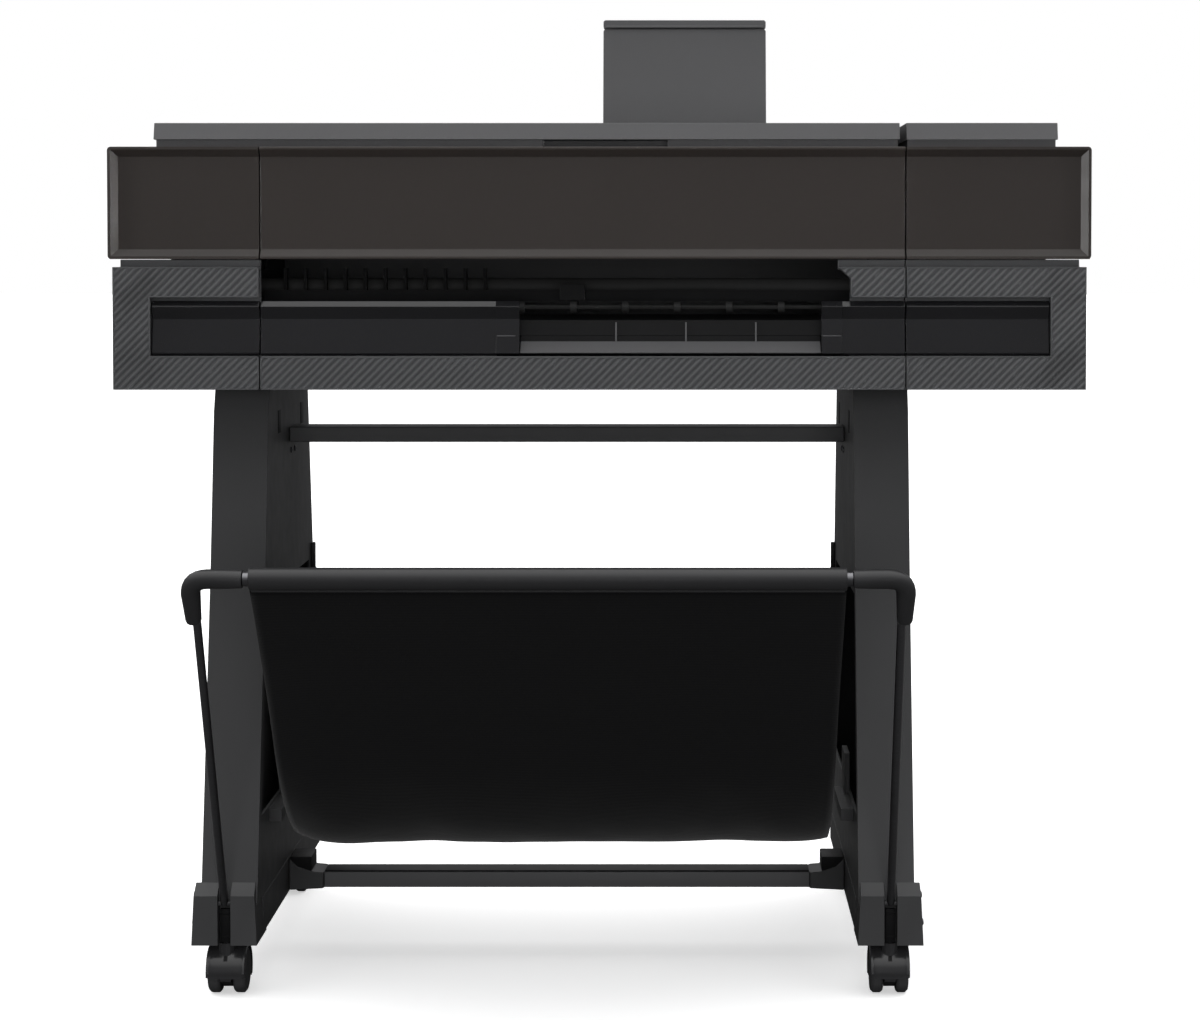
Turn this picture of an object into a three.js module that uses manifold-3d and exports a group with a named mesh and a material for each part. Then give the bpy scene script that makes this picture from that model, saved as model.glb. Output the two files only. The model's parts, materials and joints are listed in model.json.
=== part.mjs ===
// A 24-inch class large format plotter on its wheeled stand, with a fabric media bin.
// Millimetres. X runs to the right, Y to the back, Z up from the floor.
// While the model is built, Y = 0 is the front plane of the printer body.
import * as THREE from 'three';
import { mergeVertices } from 'three/addons/utils/BufferGeometryUtils.js';
import Module from 'manifold-3d';

const wasm = await Module();
wasm.setup();

// Driving dimensions of the printer body.
const UPPER_HALF = 526;
const LOWER_HALF = 521;
const BODY_DEPTH = 430;
const BODY_BOTTOM = 662;
const LOWER_TOP = 793.5;
const UPPER_BOTTOM = 802;
const UPPER_TOP = 922;
const LID_BOTTOM = 931;
const LID_TOP = 949;
const WALL = 3;
const GAP = 0.4;
const SPLIT_LEFT = -364;
const SPLIT_RIGHT = 328;
const SPLIT_GAP = 1.5;
const LID = { left: -482, right: 323.5, front: 30, middle: 240, back: 424 };
const INK_LID = { left: 331, right: 494 };
const BAND = { left: -481, right: 483, bottom: 698, top: 761 };
const MOUTH = { left: -111, right: 260 };

// Driving dimensions of the media path.
const PLATE_LEFT = -397;
const PLATE_RIGHT = 304;
const FEED = { y: 120, z: 770, radius: 11 };
const EXIT = { y: 50, z: 750, radius: 6 };
const GEAR_MODULE = 1.5;
const FEED_TEETH = 48;
const PINION_TEETH = 16;
const RAIL = { left: -466, right: 482, y: 200, z: 830 };
const SPINDLE = { y: 320, z: 850, radius: 14 };

// Driving dimensions of the stand.
const STAND_CENTRE = -46.5;
const FOOT_OFFSET = 361;
const FOOT_HALF = 35;
const LEG_HALF = 30.5;
const FOOT = { front: 10, back: 553, bottom: 60.5, top: 100.5 };
const LEG_BASE = FOOT.top + 0.3;
const CASTER = { radius: 25, trail: 14, front: 30, back: 505 };
const BIN_PIVOT = { y: 15, z: 104 };
const BIN_TUBE = { y: -190, z: 481, offset: 357 };
const BIN_WIDTH_HALF = 300;
const REAR_BAR = { y: 472, z: 399, radius: 8 };

const plotter = new THREE.Group();

const plastics = {
  charcoal: new THREE.MeshStandardMaterial({ color: 0x3c3a39, roughness: 0.5 }),
  black: new THREE.MeshStandardMaterial({ color: 0x161616, roughness: 0.6 }),
  gloss: new THREE.MeshStandardMaterial({ color: 0x101012, roughness: 0.15 }),
};
const metals = {
  painted: new THREE.MeshStandardMaterial({ color: 0x38393b, roughness: 0.45, metalness: 0.4 }),
  steel: new THREE.MeshStandardMaterial({ color: 0x9a9c9f, roughness: 0.3, metalness: 1 }),
};
const fabric = new THREE.MeshStandardMaterial({ color: 0x1a1a1b, roughness: 0.95 });
const rubber = new THREE.MeshStandardMaterial({ color: 0x232323, roughness: 0.85 });

function add(name, geometry, material, parent = plotter) {
  const mesh = new THREE.Mesh(geometry, material.clone());
  mesh.name = name;
  parent.add(mesh);
  return mesh;
}

// Solid geometry: closed shapes that are placed where they belong.

function box(x0, x1, y0, y1, z0, z1) {
  const geometry = new THREE.BoxGeometry(x1 - x0, y1 - y0, z1 - z0);
  return geometry.translate((x0 + x1) / 2, (y0 + y1) / 2, (z0 + z1) / 2);
}

function outline(points) {
  return new THREE.Shape(points.map(([a, b]) => new THREE.Vector2(a, b)));
}

function extrude(shape, depth) {
  return new THREE.ExtrudeGeometry(shape, { depth, bevelEnabled: false, curveSegments: 5 });
}

// A profile in (y, z), drawn out from x0 to x1.
function alongX(shape, x0, x1) {
  const basis = new THREE.Matrix4().makeBasis(
    new THREE.Vector3(0, 1, 0), new THREE.Vector3(0, 0, 1), new THREE.Vector3(1, 0, 0));
  return extrude(shape, x1 - x0).applyMatrix4(basis).translate(x0, 0, 0);
}

// A profile in (x, z), drawn out from y0 to y1.
function alongY(shape, y0, y1) {
  return extrude(shape, y1 - y0).rotateX(Math.PI / 2).translate(0, y1, 0);
}

function roundedRect(x0, x1, z0, z1, radius) {
  const shape = new THREE.Shape();
  shape.absarc(x1 - radius, z1 - radius, radius, 0, Math.PI / 2);
  shape.absarc(x0 + radius, z1 - radius, radius, Math.PI / 2, Math.PI);
  shape.absarc(x0 + radius, z0 + radius, radius, Math.PI, 1.5 * Math.PI);
  shape.absarc(x1 - radius, z0 + radius, radius, 1.5 * Math.PI, 2 * Math.PI);
  return shape;
}

// A cylinder with its axis along 'x', 'y' or 'z', from start to end on that axis.
function rod(axis, start, end, a, b, radius, sides = 16) {
  const geometry = new THREE.CylinderGeometry(radius, radius, end - start, sides);
  const middle = (start + end) / 2;
  if (axis === 'x') return geometry.rotateZ(Math.PI / 2).translate(middle, a, b);
  if (axis === 'y') return geometry.translate(a, middle, b);
  return geometry.rotateX(Math.PI / 2).translate(a, b, middle);
}

// A wheel or stepped shaft: (x, radius) steps turned about a line along X through (y, z).
function turned(steps, y, z, sides = 24, start = 0) {
  const profile = steps.map(([x, radius]) => new THREE.Vector2(radius, x));
  const geometry = new THREE.LatheGeometry(profile, sides, start);
  return geometry.rotateZ(-Math.PI / 2).translate(0, y, z);
}

function toSolid(geometry) {
  const bare = geometry.clone();
  bare.deleteAttribute('normal');
  bare.deleteAttribute('uv');
  const merged = mergeVertices(bare, 1e-4);
  return new wasm.Manifold(new wasm.Mesh({
    numProp: 3,
    vertProperties: merged.attributes.position.array,
    triVerts: new Uint32Array(merged.index.array),
  }));
}

function toGeometry(solid) {
  const mesh = solid.getMesh();
  const geometry = new THREE.BufferGeometry();
  geometry.setAttribute('position', new THREE.BufferAttribute(mesh.vertProperties, 3));
  geometry.setIndex(new THREE.BufferAttribute(mesh.triVerts, 1));
  return geometry;
}

function join(first, ...others) {
  const solid = others.reduce((sum, next) => sum.add(toSolid(next)), toSolid(first));
  return toGeometry(solid);
}

function cut(first, ...others) {
  const solid = others.reduce((rest, next) => rest.subtract(toSolid(next)), toSolid(first));
  return toGeometry(solid);
}

function common(first, second) {
  return toGeometry(toSolid(first).intersect(toSolid(second)));
}

// Upper housing: one picture-frame front in three panels, with end walls and top strips.

function upperFront() {
  const depth = 16;
  const rim = 3;
  const bevel = 7.5;
  const recess = 6;
  const slab = alongY(roundedRect(-UPPER_HALF, UPPER_HALF, UPPER_BOTTOM, UPPER_TOP, 4), 0, depth);
  const pocket = new THREE.BoxGeometry(1, 1, 1);
  const corner = pocket.attributes.position;
  for (let i = 0; i < corner.count; i += 1) {
    const back = corner.getY(i) > 0;
    const inset = back ? rim + bevel : rim - bevel / recess;
    const halfWidth = UPPER_HALF - inset;
    const x = Math.sign(corner.getX(i)) * halfWidth;
    const z = corner.getZ(i) > 0 ? UPPER_TOP - inset : UPPER_BOTTOM + inset;
    corner.setXYZ(i, x, back ? recess : -1, z);
  }
  return cut(slab, pocket);
}

function buildUpperPanels() {
  const front = upperFront();
  const half = SPLIT_GAP / 2;
  const tall = [-5, 20, UPPER_BOTTOM - 5, UPPER_TOP + 5];
  const leftFace = common(front, box(-UPPER_HALF - 5, SPLIT_LEFT - half, ...tall));
  const middleFace = common(front, box(SPLIT_LEFT + half, SPLIT_RIGHT - half, ...tall));
  const rightFace = common(front, box(SPLIT_RIGHT + half, UPPER_HALF + 5, ...tall));
  const stripBottom = UPPER_TOP - WALL;
  const leftWall = box(-UPPER_HALF, -UPPER_HALF + WALL, 10, BODY_DEPTH, UPPER_BOTTOM, UPPER_TOP);
  const leftStrip = box(-UPPER_HALF, LID.left + 6, 10, BODY_DEPTH, stripBottom, UPPER_TOP);
  const leftShelf = box(-UPPER_HALF, SPLIT_LEFT - half, 10, 44, stripBottom, UPPER_TOP);
  add('upper_left_panel', join(leftFace, leftWall, leftStrip, leftShelf), plastics.charcoal);
  const shelf = box(SPLIT_LEFT + half, SPLIT_RIGHT - half, 10, 44, stripBottom, UPPER_TOP);
  add('upper_front_panel', join(middleFace, shelf), plastics.charcoal);
  const rightWall = box(UPPER_HALF - WALL, UPPER_HALF, 10, BODY_DEPTH, UPPER_BOTTOM, UPPER_TOP);
  const rightStrip = box(INK_LID.right - 6, UPPER_HALF, 10, BODY_DEPTH, stripBottom, UPPER_TOP);
  const rightShelf = box(SPLIT_RIGHT + half, UPPER_HALF, 10, 44, stripBottom, UPPER_TOP);
  add('upper_right_panel', join(rightFace, rightWall, rightStrip, rightShelf), plastics.charcoal);
}

// Lower housing: two end covers and the front fascia, all recessed for the glossy band.

const COVER_FACE = 4;
const BACK_PLATE = { front: 16, back: 20 };

function lowerCover(outer, inner) {
  const low = Math.min(outer, inner);
  const high = Math.max(outer, inner);
  const side = Math.sign(outer);
  const wall = [outer, outer - side * WALL].sort((a, b) => a - b);
  const neck = [outer - side * 6, inner].sort((a, b) => a - b);
  const shell = join(
    box(low, high, 0, COVER_FACE, BODY_BOTTOM, LOWER_TOP),
    box(wall[0], wall[1], 0, BODY_DEPTH, BODY_BOTTOM, LOWER_TOP),
    box(low, high, 0, BACK_PLATE.back, BODY_BOTTOM, BODY_BOTTOM + WALL),
    box(low, high, 0, BACK_PLATE.back, LOWER_TOP - WALL, LOWER_TOP),
    box(low, high, BACK_PLATE.front, BACK_PLATE.back, BODY_BOTTOM, LOWER_TOP),
    box(neck[0], neck[1], 12, BACK_PLATE.back, LOWER_TOP - WALL, UPPER_BOTTOM - 0.5),
  );
  return cut(shell, box(BAND.left, BAND.right, -1, COVER_FACE + 1, BAND.bottom, BAND.top));
}

function fascia() {
  const left = SPLIT_LEFT + SPLIT_GAP / 2;
  const right = SPLIT_RIGHT - SPLIT_GAP / 2;
  const topRight = outline([
    [269, BAND.top], [right, BAND.top], [right, LOWER_TOP], [256, LOWER_TOP], [269, 781]]);
  return join(
    box(left, right, 0, COVER_FACE, BODY_BOTTOM, BAND.bottom),
    box(left, right, 0, BACK_PLATE.back, BODY_BOTTOM, BODY_BOTTOM + WALL),
    box(left, MOUTH.left, BACK_PLATE.front, BACK_PLATE.back, BODY_BOTTOM, 756),
    box(269, right, BACK_PLATE.front, BACK_PLATE.back, BODY_BOTTOM, LOWER_TOP),
    alongY(topRight, 0, BACK_PLATE.back),
    box(256, right, 12, BACK_PLATE.back, LOWER_TOP - WALL, UPPER_BOTTOM - 0.5),
  );
}

// The band's profile in (y, z): a sloping top edge, a finger groove and a face that leans out.
function bandProfile(proud) {
  const edge = BAND.top - 4;
  return outline([
    [14, edge], [7, edge], [2.5 - proud, edge - 6], [3 - proud, edge - 7], [8 - proud, edge - 19],
    [3 - proud, BAND.bottom + 3], [5, BAND.bottom + 1], [14, BAND.bottom + 1]]);
}

function buildLowerHousing() {
  const half = SPLIT_GAP / 2;
  add('left_end_cover', lowerCover(-LOWER_HALF, SPLIT_LEFT - half), plastics.charcoal);
  add('right_end_cover', lowerCover(LOWER_HALF, SPLIT_RIGHT + half), plastics.charcoal);
  add('front_fascia', fascia(), plastics.charcoal);
  const outerLeft = alongX(bandProfile(0), BAND.left + 0.6, SPLIT_LEFT - half);
  const innerLeft = join(
    alongX(bandProfile(0), SPLIT_LEFT + half, MOUTH.left + 1),
    alongX(bandProfile(2), MOUTH.left, MOUTH.left + 25));
  const innerRight = join(
    alongX(bandProfile(0), MOUTH.right - 1, SPLIT_RIGHT - half),
    alongX(bandProfile(2), MOUTH.right - 22, MOUTH.right));
  const outerRight = alongX(bandProfile(0), SPLIT_RIGHT + half, BAND.right - 0.6);
  add('left_band_outer', outerLeft, plastics.gloss);
  add('left_band_inner', innerLeft, plastics.gloss);
  add('right_band_inner', innerRight, plastics.gloss);
  add('right_band_outer', outerRight, plastics.gloss);
}

function buildRearCover() {
  const back = [BODY_DEPTH - WALL, BODY_DEPTH];
  const stripBottom = UPPER_TOP - WALL;
  const wall = join(
    box(-LOWER_HALF + WALL + GAP, LOWER_HALF - WALL - GAP, ...back, BODY_BOTTOM + 4, 797),
    box(-UPPER_HALF + WALL + GAP, UPPER_HALF - WALL - GAP, ...back, 796, stripBottom - GAP),
    box(LID.left + 7, INK_LID.right - 7, ...back, stripBottom - 2, LID_TOP - 1));
  const socketHole = box(430.6, 461.4, BODY_DEPTH - 5, BODY_DEPTH + 5, 689.6, 712.4);
  add('rear_cover', cut(wall, socketHole), plastics.charcoal);
  const inlet = cut(
    box(431, 461, 404, BODY_DEPTH, 690, 712),
    box(434, 458, 411, BODY_DEPTH + 1, 693, 709));
  add('power_inlet', inlet, plastics.black);
}

// Lids: hollow from below, with a front that leans back and a plinth set back under it.

function lidShell(x0, x1, y0, y1, plinthFront) {
  const lean = plinthFront ? 5 : 0;
  const slope = (inset, bottom, top) => outline([
    [y0 + inset, bottom], [y1 - inset, bottom], [y1 - inset, top], [y0 + inset + lean, top]]);
  const hollow = alongX(slope(WALL, LID_BOTTOM - 1, LID_TOP - WALL), x0 + WALL, x1 - WALL);
  const shell = cut(alongX(slope(0, LID_BOTTOM, LID_TOP), x0, x1), hollow);
  if (!plinthFront) return shell;
  const side = 1.5;
  const setBack = 8;
  const plinth = cut(
    box(x0 + side, x1 - side, y0 + setBack, y1, UPPER_TOP + GAP, LID_BOTTOM + 2),
    box(x0 + side + WALL, x1 - side - WALL, y0 + setBack + WALL, y1 + 1, UPPER_TOP, LID_TOP));
  const ledge = box(x0 + side, x1 - side, y0 + 1, y0 + setBack + WALL, LID_BOTTOM, LID_BOTTOM + 2);
  return join(shell, plinth, ledge);
}

const FINGER = { left: -62, right: 73, depth: 62 };
const SCREEN = { left: 356, right: 468, front: 48, back: 122 };
const BUTTON = { x: 412, y: 140, radius: 7 };

function buildLids() {
  const main = lidShell(LID.left, LID.right, LID.front, LID.middle, true);
  const finger = box(FINGER.left, FINGER.right, LID.front + 4, FINGER.depth, UPPER_TOP, LID_BOTTOM);
  const pan = cut(
    box(FINGER.left - 3, FINGER.right + 3, LID.front + 8, FINGER.depth + 3,
      UPPER_TOP + GAP, LID_BOTTOM + 3),
    finger);
  add('main_lid', join(cut(main, finger), pan), plastics.charcoal);

  const roll = lidShell(LID.left, LID.right, LID.middle + 3, LID.back, false);
  const slot = box(SHEET_SLOT.left, SHEET_SLOT.right, SHEET_SLOT.front, SHEET_SLOT.back, 900, 960);
  const lugs = [REST.left + 8, REST.right - 20].map(
    (x) => box(x, x + 12, REST.y + 4, REST.y + 10, LID_TOP - 1, LID_TOP + 9));
  add('roll_cover', join(cut(roll, slot), ...lugs), plastics.charcoal);

  const ink = lidShell(INK_LID.left, INK_LID.right, LID.front, LID.back, true);
  const screenSeat = box(SCREEN.left - GAP, SCREEN.right + GAP, SCREEN.front - GAP,
    SCREEN.back + GAP, LID_TOP - 2, LID_TOP + 1);
  const buttonHole = rod('z', LID_TOP - 10, LID_TOP + 1, BUTTON.x, BUTTON.y, BUTTON.radius + 0.6);
  add('ink_lid', cut(ink, screenSeat, buttonHole), plastics.charcoal);
  add('control_screen', box(SCREEN.left, SCREEN.right, SCREEN.front, SCREEN.back,
    LID_TOP - 1.7, LID_TOP - 0.2), plastics.gloss);
  const cap = rod('z', LID_TOP - 6, LID_TOP + 1.2, BUTTON.x, BUTTON.y, BUTTON.radius);
  const flange = rod('z', LID_TOP - 6.5, LID_TOP - 5, BUTTON.x, BUTTON.y, BUTTON.radius + 3);
  add('power_button', join(cap, flange), plastics.black);
}

// Sheet feeder: a rest that leans back on the roll cover, with a sliding extension behind it.

const SHEET_SLOT = { left: -2, right: 187, front: 396, back: 402 };
const REST = { left: -7, right: 191.5, y: 408, z: 955, height: 130, lean: 10 };

function buildPaperRest() {
  const rest = new THREE.Group();
  rest.position.set(0, REST.y, REST.z);
  rest.rotation.x = -THREE.MathUtils.degToRad(REST.lean);
  plotter.add(rest);
  const width = REST.right - REST.left;
  const panel = alongY(roundedRect(REST.left, REST.right, 0, REST.height, 3), -1.5, 1.5);
  const railA = box(REST.left + 4, REST.left + 8, 1, 5, 12, REST.height - 6);
  const railB = railA.clone().translate(width - 12, 0, 0);
  add('paper_rest', join(panel, railA, railB), plastics.charcoal, rest);
  const plate = box(REST.left + 9, REST.right - 9, 2, 4.5, 14, REST.height + 8);
  const lip = alongY(
    roundedRect(REST.left, REST.right, REST.height + 1, REST.height + 11, 3), -3, 4.5);
  add('paper_rest_extension', join(plate, lip), plastics.charcoal, rest);
}

// Chassis: a floor tray with two end plates and two inner plates that carry the media path.

function innerPlate(x) {
  const plate = alongX(outline([
    [90, BODY_BOTTOM + 5], [400, BODY_BOTTOM + 5], [400, 800], [350, 862], [290, 862],
    [250, 790], [90, 790]]), x, x + WALL);
  const notch = join(
    rod('x', x - 1, x + WALL + 1, SPINDLE.y, SPINDLE.z, 6.6),
    box(x - 1, x + WALL + 1, SPINDLE.y - 6.6, SPINDLE.y + 6.6, SPINDLE.z, 870));
  return cut(plate, notch, rod('x', x - 1, x + WALL + 1, FEED.y, FEED.z, 5));
}

function buildChassis() {
  const floor = box(-515, 515, 24, 424, BODY_BOTTOM, BODY_BOTTOM + 6);
  const endPlate = outline([
    [60, BODY_BOTTOM + 5], [420, BODY_BOTTOM + 5], [420, 880], [240, 905], [60, 905]]);
  const ends = [RAIL.left - WALL - GAP, RAIL.right + GAP].map(
    (x) => alongX(endPlate, x, x + WALL));
  add('chassis', join(floor, ...ends, innerPlate(PLATE_LEFT), innerPlate(PLATE_RIGHT)),
    metals.painted);
}

function buildPlaten() {
  const slope = outline([
    [21, 720], [25, 736], [108, 741], [108, 737], [30, 732], [25, 718]]);
  const lip = outline([
    [5, 701], [20, 712.5], [25, 736], [30, 732], [24, 709], [9, 699.5]]);
  const seam = outline([[19, 711.5], [24, 735], [28, 735], [24, 711.5]]);
  const seams = [17.2, 92.6, 168].map((x) => alongX(seam, x - 0.6, x + 0.6));
  const lipEnds = [MOUTH.left + 25.5, MOUTH.right - 22.5];
  const deck = join(alongX(slope, -360, 268), alongX(lip, ...lipEnds), ...seams);
  const ribs = [];
  for (let x = -350; x < -110; x += 22) ribs.push(box(x, x + 3, 84, 100, 738, 792));
  const guide = box(-372, 290, 81.5, 84.5, 756, 768);
  const guideFeet = [-340, 240].map((x) => box(x, x + 12, 81.5, 84.5, 737, 758));
  add('output_platen', join(deck, ...ribs, guide, ...guideFeet), plastics.black);
  const cutterBody = join(box(-45, -18, 62, 81, 757, 775), box(-38, -25, 66, 78, 745, 759));
  add('cutter', cutterBody, plastics.black);
}

// Involute gears. A tooth is centred on the +Y side when phase is 0.

function gear(teeth, x0, x1, y, z, phase) {
  const pressure = THREE.MathUtils.degToRad(20);
  const pitch = GEAR_MODULE * teeth / 2;
  const base = pitch * Math.cos(pressure);
  const outer = pitch + 0.8 * GEAR_MODULE;
  const root = pitch - 1.15 * GEAR_MODULE;
  const backlash = 0.25;
  const involute = (r) => {
    const angle = Math.acos(Math.min(1, base / r));
    return Math.tan(angle) - angle;
  };
  const halfAtPitch = Math.PI / (2 * teeth) - backlash / (2 * pitch);
  const halfAt = (r) => halfAtPitch + involute(pitch) - involute(Math.max(r, base));
  const radii = [root, Math.max(base, root + 0.2), pitch, outer];
  const points = [];
  for (let tooth = 0; tooth < teeth; tooth += 1) {
    const centre = phase + tooth * 2 * Math.PI / teeth;
    const flank = (r, side) => {
      const angle = centre + side * halfAt(r);
      points.push([y + r * Math.cos(angle), z + r * Math.sin(angle)]);
    };
    radii.forEach((r) => flank(r, -1));
    [...radii].reverse().forEach((r) => flank(r, 1));
  }
  return alongX(outline(points), x0, x1);
}

function buildFeedTrain() {
  const gearFront = -412;
  const gearBack = -404;
  const shaft = 4;
  const rollerEnds = [PLATE_LEFT + WALL + 1, PLATE_RIGHT - 1];
  const roller = turned([
    [gearFront - 1, 0], [gearFront - 1, shaft], [rollerEnds[0], shaft],
    [rollerEnds[0], FEED.radius], [rollerEnds[1], FEED.radius], [rollerEnds[1], shaft],
    [PLATE_RIGHT + WALL + 4, shaft], [PLATE_RIGHT + WALL + 4, 0]], FEED.y, FEED.z, 20);
  add('feed_roller', roller, rubber);
  const bore = rod('x', gearFront - 1, gearBack + 1, FEED.y, FEED.z, shaft + 0.4);
  const wheel = gear(FEED_TEETH, gearFront, gearBack, FEED.y, FEED.z, 0);
  add('feed_gear', cut(wheel, bore), plastics.black);
  const centres = GEAR_MODULE * (FEED_TEETH + PINION_TEETH) / 2;
  const pinionY = FEED.y + centres;
  const pinion = join(
    gear(PINION_TEETH, gearFront, gearBack, pinionY, FEED.z, Math.PI / PINION_TEETH),
    rod('x', gearFront - 3, gearFront + 1, pinionY, FEED.z, 3));
  add('feed_pinion', pinion, metals.steel);
  add('feed_motor', rod('x', -462, gearFront - 3.3, pinionY, FEED.z, 19, 20), metals.painted);
  const exit = [[PLATE_LEFT + 8, 0], [PLATE_LEFT + 8, 2.5]];
  for (let x = PLATE_LEFT + 24; x < PLATE_RIGHT - 20; x += 56.6) {
    exit.push([x, 2.5], [x, EXIT.radius], [x + 7, EXIT.radius], [x + 7, 2.5]);
  }
  exit.push([PLATE_RIGHT - 8, 2.5], [PLATE_RIGHT - 8, 0]);
  add('exit_roller', turned(exit, EXIT.y, EXIT.z, 12), rubber);
}

// Scan axis: rail, carriage, toothed belt and its two pulleys.

const PULLEY = { left: -445, right: 465, y: 236, z: 856, radius: 8 };

function buildScanAxis() {
  const rail = box(RAIL.left, RAIL.right, RAIL.y, RAIL.y + 14, RAIL.z, RAIL.z + 50);
  add('carriage_rail', rail, metals.steel);
  const carriage = join(
    box(360, 450, 118, RAIL.y - 0.6, 796, 886),
    box(366, 444, 190, RAIL.y + 20, RAIL.z + 50.6, 886),
    box(380, 430, RAIL.y + 14.6, RAIL.y + 20, RAIL.z + 34, 884));
  add('carriage', carriage, plastics.black);
  const loop = (grow) => {
    const radius = PULLEY.radius + grow;
    const shape = new THREE.Shape();
    shape.absarc(PULLEY.right, PULLEY.y, radius, -Math.PI / 2, Math.PI / 2);
    shape.absarc(PULLEY.left, PULLEY.y, radius, Math.PI / 2, 1.5 * Math.PI);
    return shape;
  };
  const outer = extrude(loop(1.7), 6);
  const inner = extrude(loop(0.3), 10).translate(0, 0, -2);
  const belt = cut(outer, inner).translate(0, 0, PULLEY.z);
  add('carriage_belt', belt, rubber);
  const pulleyShape = (x, bottom) => join(
    rod('z', PULLEY.z - 1, PULLEY.z + 7, x, PULLEY.y, PULLEY.radius, 20),
    rod('z', bottom, PULLEY.z, x, PULLEY.y, 3, 12));
  add('drive_pulley', pulleyShape(PULLEY.right, 838), metals.steel);
  add('idler_pulley', pulleyShape(PULLEY.left, 848), metals.steel);
  const motor = rod('z', 780, 837.6, PULLEY.right, PULLEY.y, 16, 20);
  add('carriage_motor', motor, metals.painted);
}

function buildSpindle() {
  const ends = [PLATE_LEFT - 4, PLATE_RIGHT + WALL + 4];
  const hub = 34;
  const steps = [
    [ends[0], 0], [ends[0], 6], [PLATE_LEFT + WALL + 1, 6], [PLATE_LEFT + WALL + 1, hub],
    [PLATE_LEFT + WALL + 9, hub], [PLATE_LEFT + WALL + 9, 24], [PLATE_LEFT + WALL + 39, 22],
    [PLATE_LEFT + WALL + 39, SPINDLE.radius], [PLATE_RIGHT - 39, SPINDLE.radius],
    [PLATE_RIGHT - 39, 22], [PLATE_RIGHT - 9, 24], [PLATE_RIGHT - 9, hub],
    [PLATE_RIGHT - 1, hub], [PLATE_RIGHT - 1, 6], [ends[1], 6], [ends[1], 0]];
  add('roll_spindle', turned(steps, SPINDLE.y, SPINDLE.z), plastics.black);
}

function buildInkStation() {
  const dock = { left: 345, right: 475, front: 256, back: 402, bottom: 690, top: 790 };
  const pitch = 32;
  const first = dock.left + 2.5;
  let station = box(dock.left, dock.right, dock.front, dock.back, dock.bottom, dock.top);
  for (let i = 0; i < 4; i += 1) {
    const x = first + i * pitch;
    station = cut(station, box(x, x + 29, dock.front + 4, dock.back - 4, 710, dock.top + 1));
    const body = box(x + 0.5, x + 28.5, dock.front + 4.5, dock.back - 4.5, 710.5, 880);
    const grip = box(x + 6, x + 23, dock.front + 4.5, dock.front + 20, 879, 894);
    add(`ink_cartridge_${i + 1}`, join(body, grip), plastics.black);
  }
  add('cartridge_dock', station, plastics.black);
}

// Stand: hollow legs on foot beams, tied by two crossbars.

const LEG_FRONT = [[132, BODY_BOTTOM - 0.4], [120, 632], [93, 464], [70, 347], [20, LEG_BASE]];
const LEG_BACK = [[553, LEG_BASE], [441, BODY_BOTTOM - 0.4]];

function legOutline(inset) {
  const shifted = ([y, z], step) => {
    const middle = (LEG_BASE + BODY_BOTTOM) / 2;
    return [y + step, z + Math.sign(middle - z) * (Math.abs(middle - z) > 270 ? inset : 0)];
  };
  return outline([
    ...LEG_FRONT.map((point) => shifted(point, inset)),
    ...LEG_BACK.map((point) => shifted(point, -inset))]);
}

function legShell(centre, inward) {
  const outerX = centre - inward * LEG_HALF;
  const innerX = centre + inward * LEG_HALF;
  const span = (a, b) => [Math.min(a, b), Math.max(a, b)];
  const hollow = alongX(legOutline(WALL), ...span(outerX + inward * 7, innerX - inward * WALL));
  const panel = alongX(legOutline(38), ...span(outerX - inward, outerX + inward * 4));
  const windowShape = outline([[58, 192], [100, 430], [446, 430], [494, 192]]);
  const window = alongX(windowShape, ...span(innerX - inward * 5, innerX + inward));
  const shell = cut(alongX(legOutline(0), ...span(outerX, innerX)), hollow, panel, window);
  const bracket = join(
    box(...span(innerX - inward, innerX + inward * 14), 110, 240, 174, 188),
    box(...span(innerX - inward, innerX + inward * 5), 190, 240, 180, 236));
  return join(shell, bracket);
}

function footBeam(centre) {
  const beam = box(
    centre - FOOT_HALF, centre + FOOT_HALF, FOOT.front + 50, FOOT.back, FOOT.bottom, FOOT.top);
  const nose = alongX(outline([
    [FOOT.front, FOOT.bottom - 1.5], [FOOT.front, 113], [24, 125], [24, 125], [19.6, FOOT.top],
    [FOOT.front + 70, FOOT.top], [FOOT.front + 70, FOOT.bottom - 1.5]]),
  centre - FOOT_HALF - 1, centre + FOOT_HALF + 1);
  const taper = alongY(outline([
    [centre - FOOT_HALF - 1, 50], [centre - LEG_HALF - 1.5, 130],
    [centre + LEG_HALF + 1.5, 130], [centre + FOOT_HALF + 1, 50]]), 0, 100);
  const slot = box(centre - 7, centre + 7, 0, 25.5, 50, 140);
  const sockets = [CASTER.front, CASTER.back].map(
    (y) => rod('z', 50, 96, centre, y, 6.4));
  return cut(join(beam, common(nose, taper)), slot, ...sockets);
}

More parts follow.
